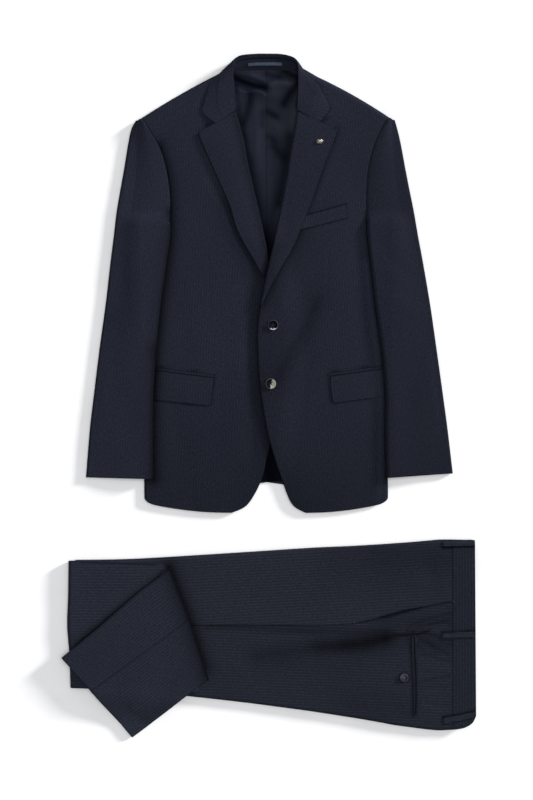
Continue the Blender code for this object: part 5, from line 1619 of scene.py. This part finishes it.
class SUIT_OT_buttons(bpy.types.Operator):
    """Sew on the front buttons, work their buttonholes and set the lapel stud"""
    bl_idname = "suit.buttons"
    bl_label = "Front buttons and stud"

    def execute(self, context):
        trims = context.scene.suit_trims
        thread = thread_stock("navy_thread", (0.006, 0.007, 0.012), (0.016, 0.018, 0.03), 0.4)
        for name, x, y in BUTTONS:
            polish = horn(name, colour_of(trims.horn))
            button(name, (x, y, lie_at(left_front_height, x, y) + 0.4), trims.button_diameter, 3.0,
                   polish, thread)
            lie = lie_at(left_front_height, x - 8.0, y) + 0.1
            buttonhole(name + "_hole", x - 6.5, y, 24.0, lie, thread)
        metal = stock("stud_metal", (0.10, 0.09, 0.07), (0.46, 0.44, 0.37), 0.42, 330.0,
                      (0.4, 0.0006), {"Metallic": 1.0})
        stud = bmesh.new()
        bmesh.ops.create_uvsphere(stud, u_segments=48, v_segments=24, radius=0.5)
        bmesh.ops.bisect_plane(stud, geom=stud.verts[:] + stud.edges[:] + stud.faces[:],
                               plane_no=(0, 0, 1), clear_inner=True)
        bmesh.ops.holes_fill(stud, edges=stud.edges)
        bmesh.ops.recalc_face_normals(stud, faces=stud.faces)
        lie = lie_at(left_front_height, *STUD_AT) + LAY_GAP + LAPEL_WALL
        size = Matrix.Diagonal((STUD_SIZE[0] * MM, STUD_SIZE[1] * MM, 2 * STUD_SIZE[2] * MM, 1.0))
        place = Matrix.Translation((STUD_AT[0] * MM, STUD_AT[1] * MM, (lie + 1.4) * MM))
        bmesh.ops.transform(stud, matrix=place @ size, verts=stud.verts)
        for face in stud.faces:
            face.smooth = len(face.verts) < 5
        finished("stud_dome", stud, metal, "lapel_stud")
        return {'FINISHED'}


# --- trousers ---------------------------------------------------------------------------------
def trouser_cloth(name, painted_brightness, tint, stripe=1.5, pitch=0.0053):
    """The suit's cloth on the trousers, where its stripes lie a little wider, made lighter or darker as
    painted light and shade.
    """
    return worsted(name, pitch, painted_brightness, stripe, tint)


def in_metres(lines):
    """Lines of two points on the floor, from millimetres."""
    return [[(x * MM, y * MM, 0) for x, y in line] for line in lines]


class SUIT_OT_trousers(bpy.types.Operator):
    """Lay the folded trousers: front, back, waistband, pocket facing and loops"""
    bl_idname = "suit.trousers"
    bl_label = "Trousers"

    def execute(self, context):
        # Each trouser panel's colour is made lighter or darker as painted light and shade; shade is
        # painted beside the leg end's fold, in the pocket mouth, below the belt loops, in the hip troughs
        # and wrinkles, round the hip button, in its slit and towards the waistband.
        front = trouser_cloth("worsted_trouser_front", 1.02, (1.015, 0.93))
        back = trouser_cloth("worsted_trouser_back", 0.96, (1.01, 0.93))
        fold = [(-118, -496), LEG_END[-1][2:4], LEG_END[-1][:2]]
        x, y = HIP_BUTTON_AT
        turns = np.linspace(0, 2 * math.pi, 25)
        button_shade_ring = list(zip(x + 8.6 * np.cos(turns), y + 8.6 * np.sin(turns)))
        common_shading = [(fold, 5.0, 0.4), (fold, 15.0, 0.56), (POCKET_MOUTH_SHADE, 3.0, 0.4),
                  *((line, 2.5, 0.88) for line in LOOP_SHADES)]
        front_painted_shading = [([(120, -290), (335, -290)], 60.0, 0.1),
                         ([(215, -300), (335, -300)], 50.0, 0.2)]
        back_painted_shading = [(HIP_LEAD_SHADE, 17.0, 0.3), (HIP_TROUGH_SHADE[1:5], 16.0, 0.42),
                        (HIP_TROUGH_SHADE[2:5], 14.0, 0.35), (HIP_TROUGH_SHADE[4:], 4.5, 0.4),
                        (SEAT_SHADE, 26.0, 0.1), ([(-110, -418), (60, -421), (150, -412)], 9.0, 0.3),
                        ([(262, -452), (335, -452)], 16.0, 0.3),
                        ([(150, -558), (232, -574)], 36.0, 0.16), (HIP_SHADE, 24.0, 0.18),
                        (HIP_SLIT_SHADE, 3.6, 0.5), (HIP_LINE, 2.0, 0.7), (button_shade_ring, 1.8, 0.6),
                        *((line, 2.4, 0.3) for line in HIP_WRINKLE_SHADES)]
        for name, rows, counts, finish, lean, edges, painted_shading in (
                ("trouser_front", TROUSER_FRONT, (190, 66), front, -0.052, (0, 0, 0.3, 0.25),
                 front_painted_shading),
                ("trouser_back", TROUSER_BACK, (200, 84), back, 0.038, (0, 0, 0.25, 0.3),
                 back_painted_shading)):
            cloth(name, upright_panel(rows, trouser_height), counts, TROUSER_WALL, finish,
                  straight_grain(lean, False), STACK, ease=(0.0, 0.5), held="folded", edges=edges,
                  painted_shading=common_shading + painted_shading)
        # the waistband is painted darker, with shade painted below its loops; the loops and the pocket
        # facing get painted shade along their edges and in the pocket mouth
        band = trouser_cloth("worsted_waistband", 0.82, (0.975, 0.935), 1.6, 0.0055)
        cloth("waistband", upright_panel(WAISTBAND, waistband_height), (20, 120), WAISTBAND_WALL,
              band, straight_grain(0.0), STACK, ease=(0.3, 0.4), held="folded",
              edges=(0, 0.3, 0.3, 0.3), painted_shading=[(line, 2.2, 0.85) for line in LOOP_SHADES])
        soft = soft_edges(9.5, 0.3, 0.3, 0.4, 0.4, 1.4)
        for name, rows in BELT_LOOPS:
            cloth(name, panel(rows, lapped(waistband_height, LOOP_WALL, 0.3), soft=soft), (40, 16),
                  LOOP_WALL, front, straight_grain(0.0, False), "waistband_cloth",
                  ease=(0.3, 0.4), edges=(0.3, 0.3, 0.45, 0.35))
        facing = upright_panel(POCKET_FACING, lambda x, y: TROUSER_LIE - 1.4 + 0 * x)
        cloth("pocket_facing", facing, (30, 3), TRIM_WALL, satin("pocket_satin"),
              straight_grain(0.0, False), STACK, slot="satin",
              painted_shading=[(POCKET_MOUTH_SHADE, 60.0, 0.4), (MOUTH_EDGE_SHADE, 2.2, 0.75)])
        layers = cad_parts[STACK].data.materials
        layers.clear()
        layers.append(worsted("worsted_inner_layers", from_object=True, turn=math.pi / 2))
        return {'FINISHED'}


class SUIT_OT_hip_pocket(bpy.types.Operator):
    """Sew the hip pocket's two jets, its button and its tacks"""
    bl_idname = "suit.hip_pocket"
    bl_label = "Hip pocket"

    def execute(self, context):
        soft = soft_edges(142.0, 0.5, 0.5, 0.2, 0.2, 1.2)
        # shade painted along the inner jet's edge and in the pocket's slit
        for (name, rows), pressed in zip(HIP_JETS, (0.5, 0.0)):
            cloth(name, panel(rows, lapped(trouser_height, TRIM_WALL, 0.3), soft=soft), (8, 90),
                  TRIM_WALL, bpy.data.materials["worsted_waistband"], straight_grain(0.0),
                  "trouser_back_cloth", edges=(pressed, 0, 0.2, 0.2),
                  painted_shading=[(HIP_SLIT_SHADE, 1.5, 0.8)])
        polish = horn("hip_button", (0.02, 0.022, 0.028, 1))
        lavender = thread_stock("lavender_thread", (0.12, 0.11, 0.19), (0.22, 0.2, 0.32))
        navy = bpy.data.materials["navy_thread"]
        x, y = HIP_BUTTON_AT
        lie = lie_at(trouser_height, x, y) + 0.4
        button("hip_button", (x, y, lie), context.scene.suit_trims.hip_button_diameter, 2.5,
               polish, lavender)
        buttonhole("hip_button_hole", x - 8.0, y, 17.0, lie - 0.2, navy)
        tack = thread_stock("tack_thread", (0.03, 0.034, 0.055), (0.07, 0.075, 0.11))
        strands("jet_bars", in_metres(JET_BARS), (TROUSER_LIE + 2.0) * MM, 1.4 * MM, navy)
        strands("pocket_tacks", in_metres(POCKET_TACKS), (TROUSER_LIE + 1.6) * MM, 1.0 * MM, tack)
        return {'FINISHED'}


class SUIT_OT_legs(bpy.types.Operator):
    """Fold the leg back over the stack and turn its end down across it"""
    bl_idname = "suit.legs"
    bl_label = "Folded leg and leg end"

    def execute(self, context):
        # The folded leg and the leg end are painted lighter, as painted light; shade is painted along the
        # leg end's edges, beside its fold, in the wedge and under the stack's edge, and light on the leg
        # end's lower part.
        folded = trouser_cloth("worsted_return_leg", 1.1, (1.0, 0.955))
        cloth("return_leg", return_place, (130, 80), RETURN_WALL, folded,
              straight_grain(0.0, False), STACK, ease=(0.0, 0.4), held="folded",
              edges=(0, 0, 0.3, 0.3),
              painted_shading=[(column_line(LEG_END, 0), 7.0, 0.45), (LEG_WEDGE_SHADE, 11.0, 0.35),
                       (UNDER_EDGE_SHADE, 1.5, 0.5)])
        end = trouser_cloth("worsted_leg_end", 1.05, (0.99, 0.96))
        fold = [LEG_END[-1][4:], LEG_END[-1][2:4], LEG_END[-1][:2]]
        painted_shading = [(fold, 3.5, 0.75), (fold, 19.0, 0.5),
                   ([(-296, -566), (-256, -586), (-216, -560)], 30.0, -0.22)]
        for name, first, offset, edges in (
                ("leg_end_front", 0, 0.0, (0.3, 0.12, 0.3, 0.85)),
                ("leg_end_back", 1, 82.0, (0.12, 0.55, 0.3, 0.85))):
            cloth(name, leg_end_place(first), (60, 120), TROUSER_WALL, end, cross_grain(offset),
                  "return_leg_cloth", ease=(0.5, 0.3), held="folded", edges=edges,
                  painted_shading=painted_shading)
        cloth("leg_end_under", leg_under_place, (40, 60), TROUSER_WALL, end, cross_grain(),
              "return_leg_cloth", face_down=True, held="folded")
        return {'FINISHED'}


# --- stage ------------------------------------------------------------------------------------
class SUIT_OT_stage(bpy.types.Operator):
    """Set the pale floor, the soft light and the camera above the suit"""
    bl_idname = "suit.stage"
    bl_label = "Floor, light and camera"

    def execute(self, context):
        scene = context.scene
        stage = scene.suit_stage
        scene.view_settings.view_transform = 'Standard'
        floor = bmesh.new()
        bmesh.ops.create_grid(floor, x_segments=8, y_segments=8, size=FLOOR_REACH)
        bmesh.ops.translate(floor, vec=(0, 0, -FLOOR_DROP), verts=floor.verts)
        finish = stock("pale_floor", (0.90, 0.90, 0.905), (0.94, 0.94, 0.945), 0.4, 3.0,
                       (0.0, 0.001), {"Specular IOR Level": 0.1, "Roughness": 0.9})
        board = placed("floor", floor, finish)

        world = bpy.data.worlds.new("studio")
        scene.world = world
        world.use_nodes = True
        sky = world.node_tree.nodes["Background"]
        sky.inputs["Color"].default_value = (0.97, 0.98, 1.0, 1.0)
        sky.inputs["Strength"].default_value = stage.sky_strength
        for name, strength, width, height in (
                ("key", stage.key_strength, KEY_WIDTH, stage.key_height),
                ("top", stage.top_strength, TOP_WIDTH, TOP_LIGHT_HEIGHT)):
            sun = bpy.data.lights.new(name, 'SUN')
            sun.energy = strength
            sun.angle = math.radians(width)
            lamp = linked(name, sun)
            flat = math.cos(height)
            toward = Vector((flat * math.cos(LIGHT_TURN), flat * math.sin(LIGHT_TURN),
                             math.sin(height)))
            lamp.rotation_euler = toward.to_track_quat('Z', 'Y').to_euler()

        camera = bpy.data.cameras.new("camera")
        camera.lens = stage.lens
        camera.sensor_width = SENSOR
        camera.clip_end = 50.0
        eye = linked("camera", camera)
        eye.location = (*CAMERA_AT, stage.frame_height * stage.lens / SENSOR)
        scene.camera = eye
        return {'FINISHED'}


class SUIT_PT_panel(bpy.types.Panel):
    """Steps that dress the suit, and their settings"""
    bl_idname = "SUIT_PT_panel"
    bl_label = "Two-piece suit"
    bl_space_type = 'VIEW_3D'
    bl_region_type = 'UI'
    bl_category = "Suit"

    def draw(self, context):
        layout = self.layout
        for step in STEPS:
            layout.operator(step.bl_idname)
        for owner, label in SETTINGS:
            box = layout.box()
            box.label(text=label)
            group = getattr(context.scene, owner)
            for name in group.__annotations__:
                box.prop(group, name)


STEPS = (SUIT_OT_stage, SUIT_OT_body, SUIT_OT_lining, SUIT_OT_lapels, SUIT_OT_collar,
         SUIT_OT_sleeves, SUIT_OT_pockets, SUIT_OT_buttons, SUIT_OT_trousers, SUIT_OT_legs,
         SUIT_OT_hip_pocket)
SETTINGS = (("suit_cloth", "Cloth"), ("suit_lining", "Lining"), ("suit_trims", "Trims"),
            ("suit_stage", "Stage"))
GROUPS = (SuitClothSettings, SuitLiningSettings, SuitTrimSettings, SuitStageSettings)


def register():
    """Register the settings, the steps and the panel."""
    for made in (*GROUPS, *STEPS, SUIT_PT_panel):
        bpy.utils.register_class(made)
    for (owner, label), group in zip(SETTINGS, GROUPS):
        setattr(bpy.types.Scene, owner, bpy.props.PointerProperty(type=group, name=label))


def unregister():
    """Take them out again."""
    for owner, _ in SETTINGS:
        delattr(bpy.types.Scene, owner)
    for made in reversed((*GROUPS, *STEPS, SUIT_PT_panel)):
        bpy.utils.unregister_class(made)


def main():
    """Dress the suit."""
    register()
    for step in STEPS:
        area, name = step.bl_idname.split(".")
        getattr(getattr(bpy.ops, area), name)()


if __name__ == "__main__":
    main()
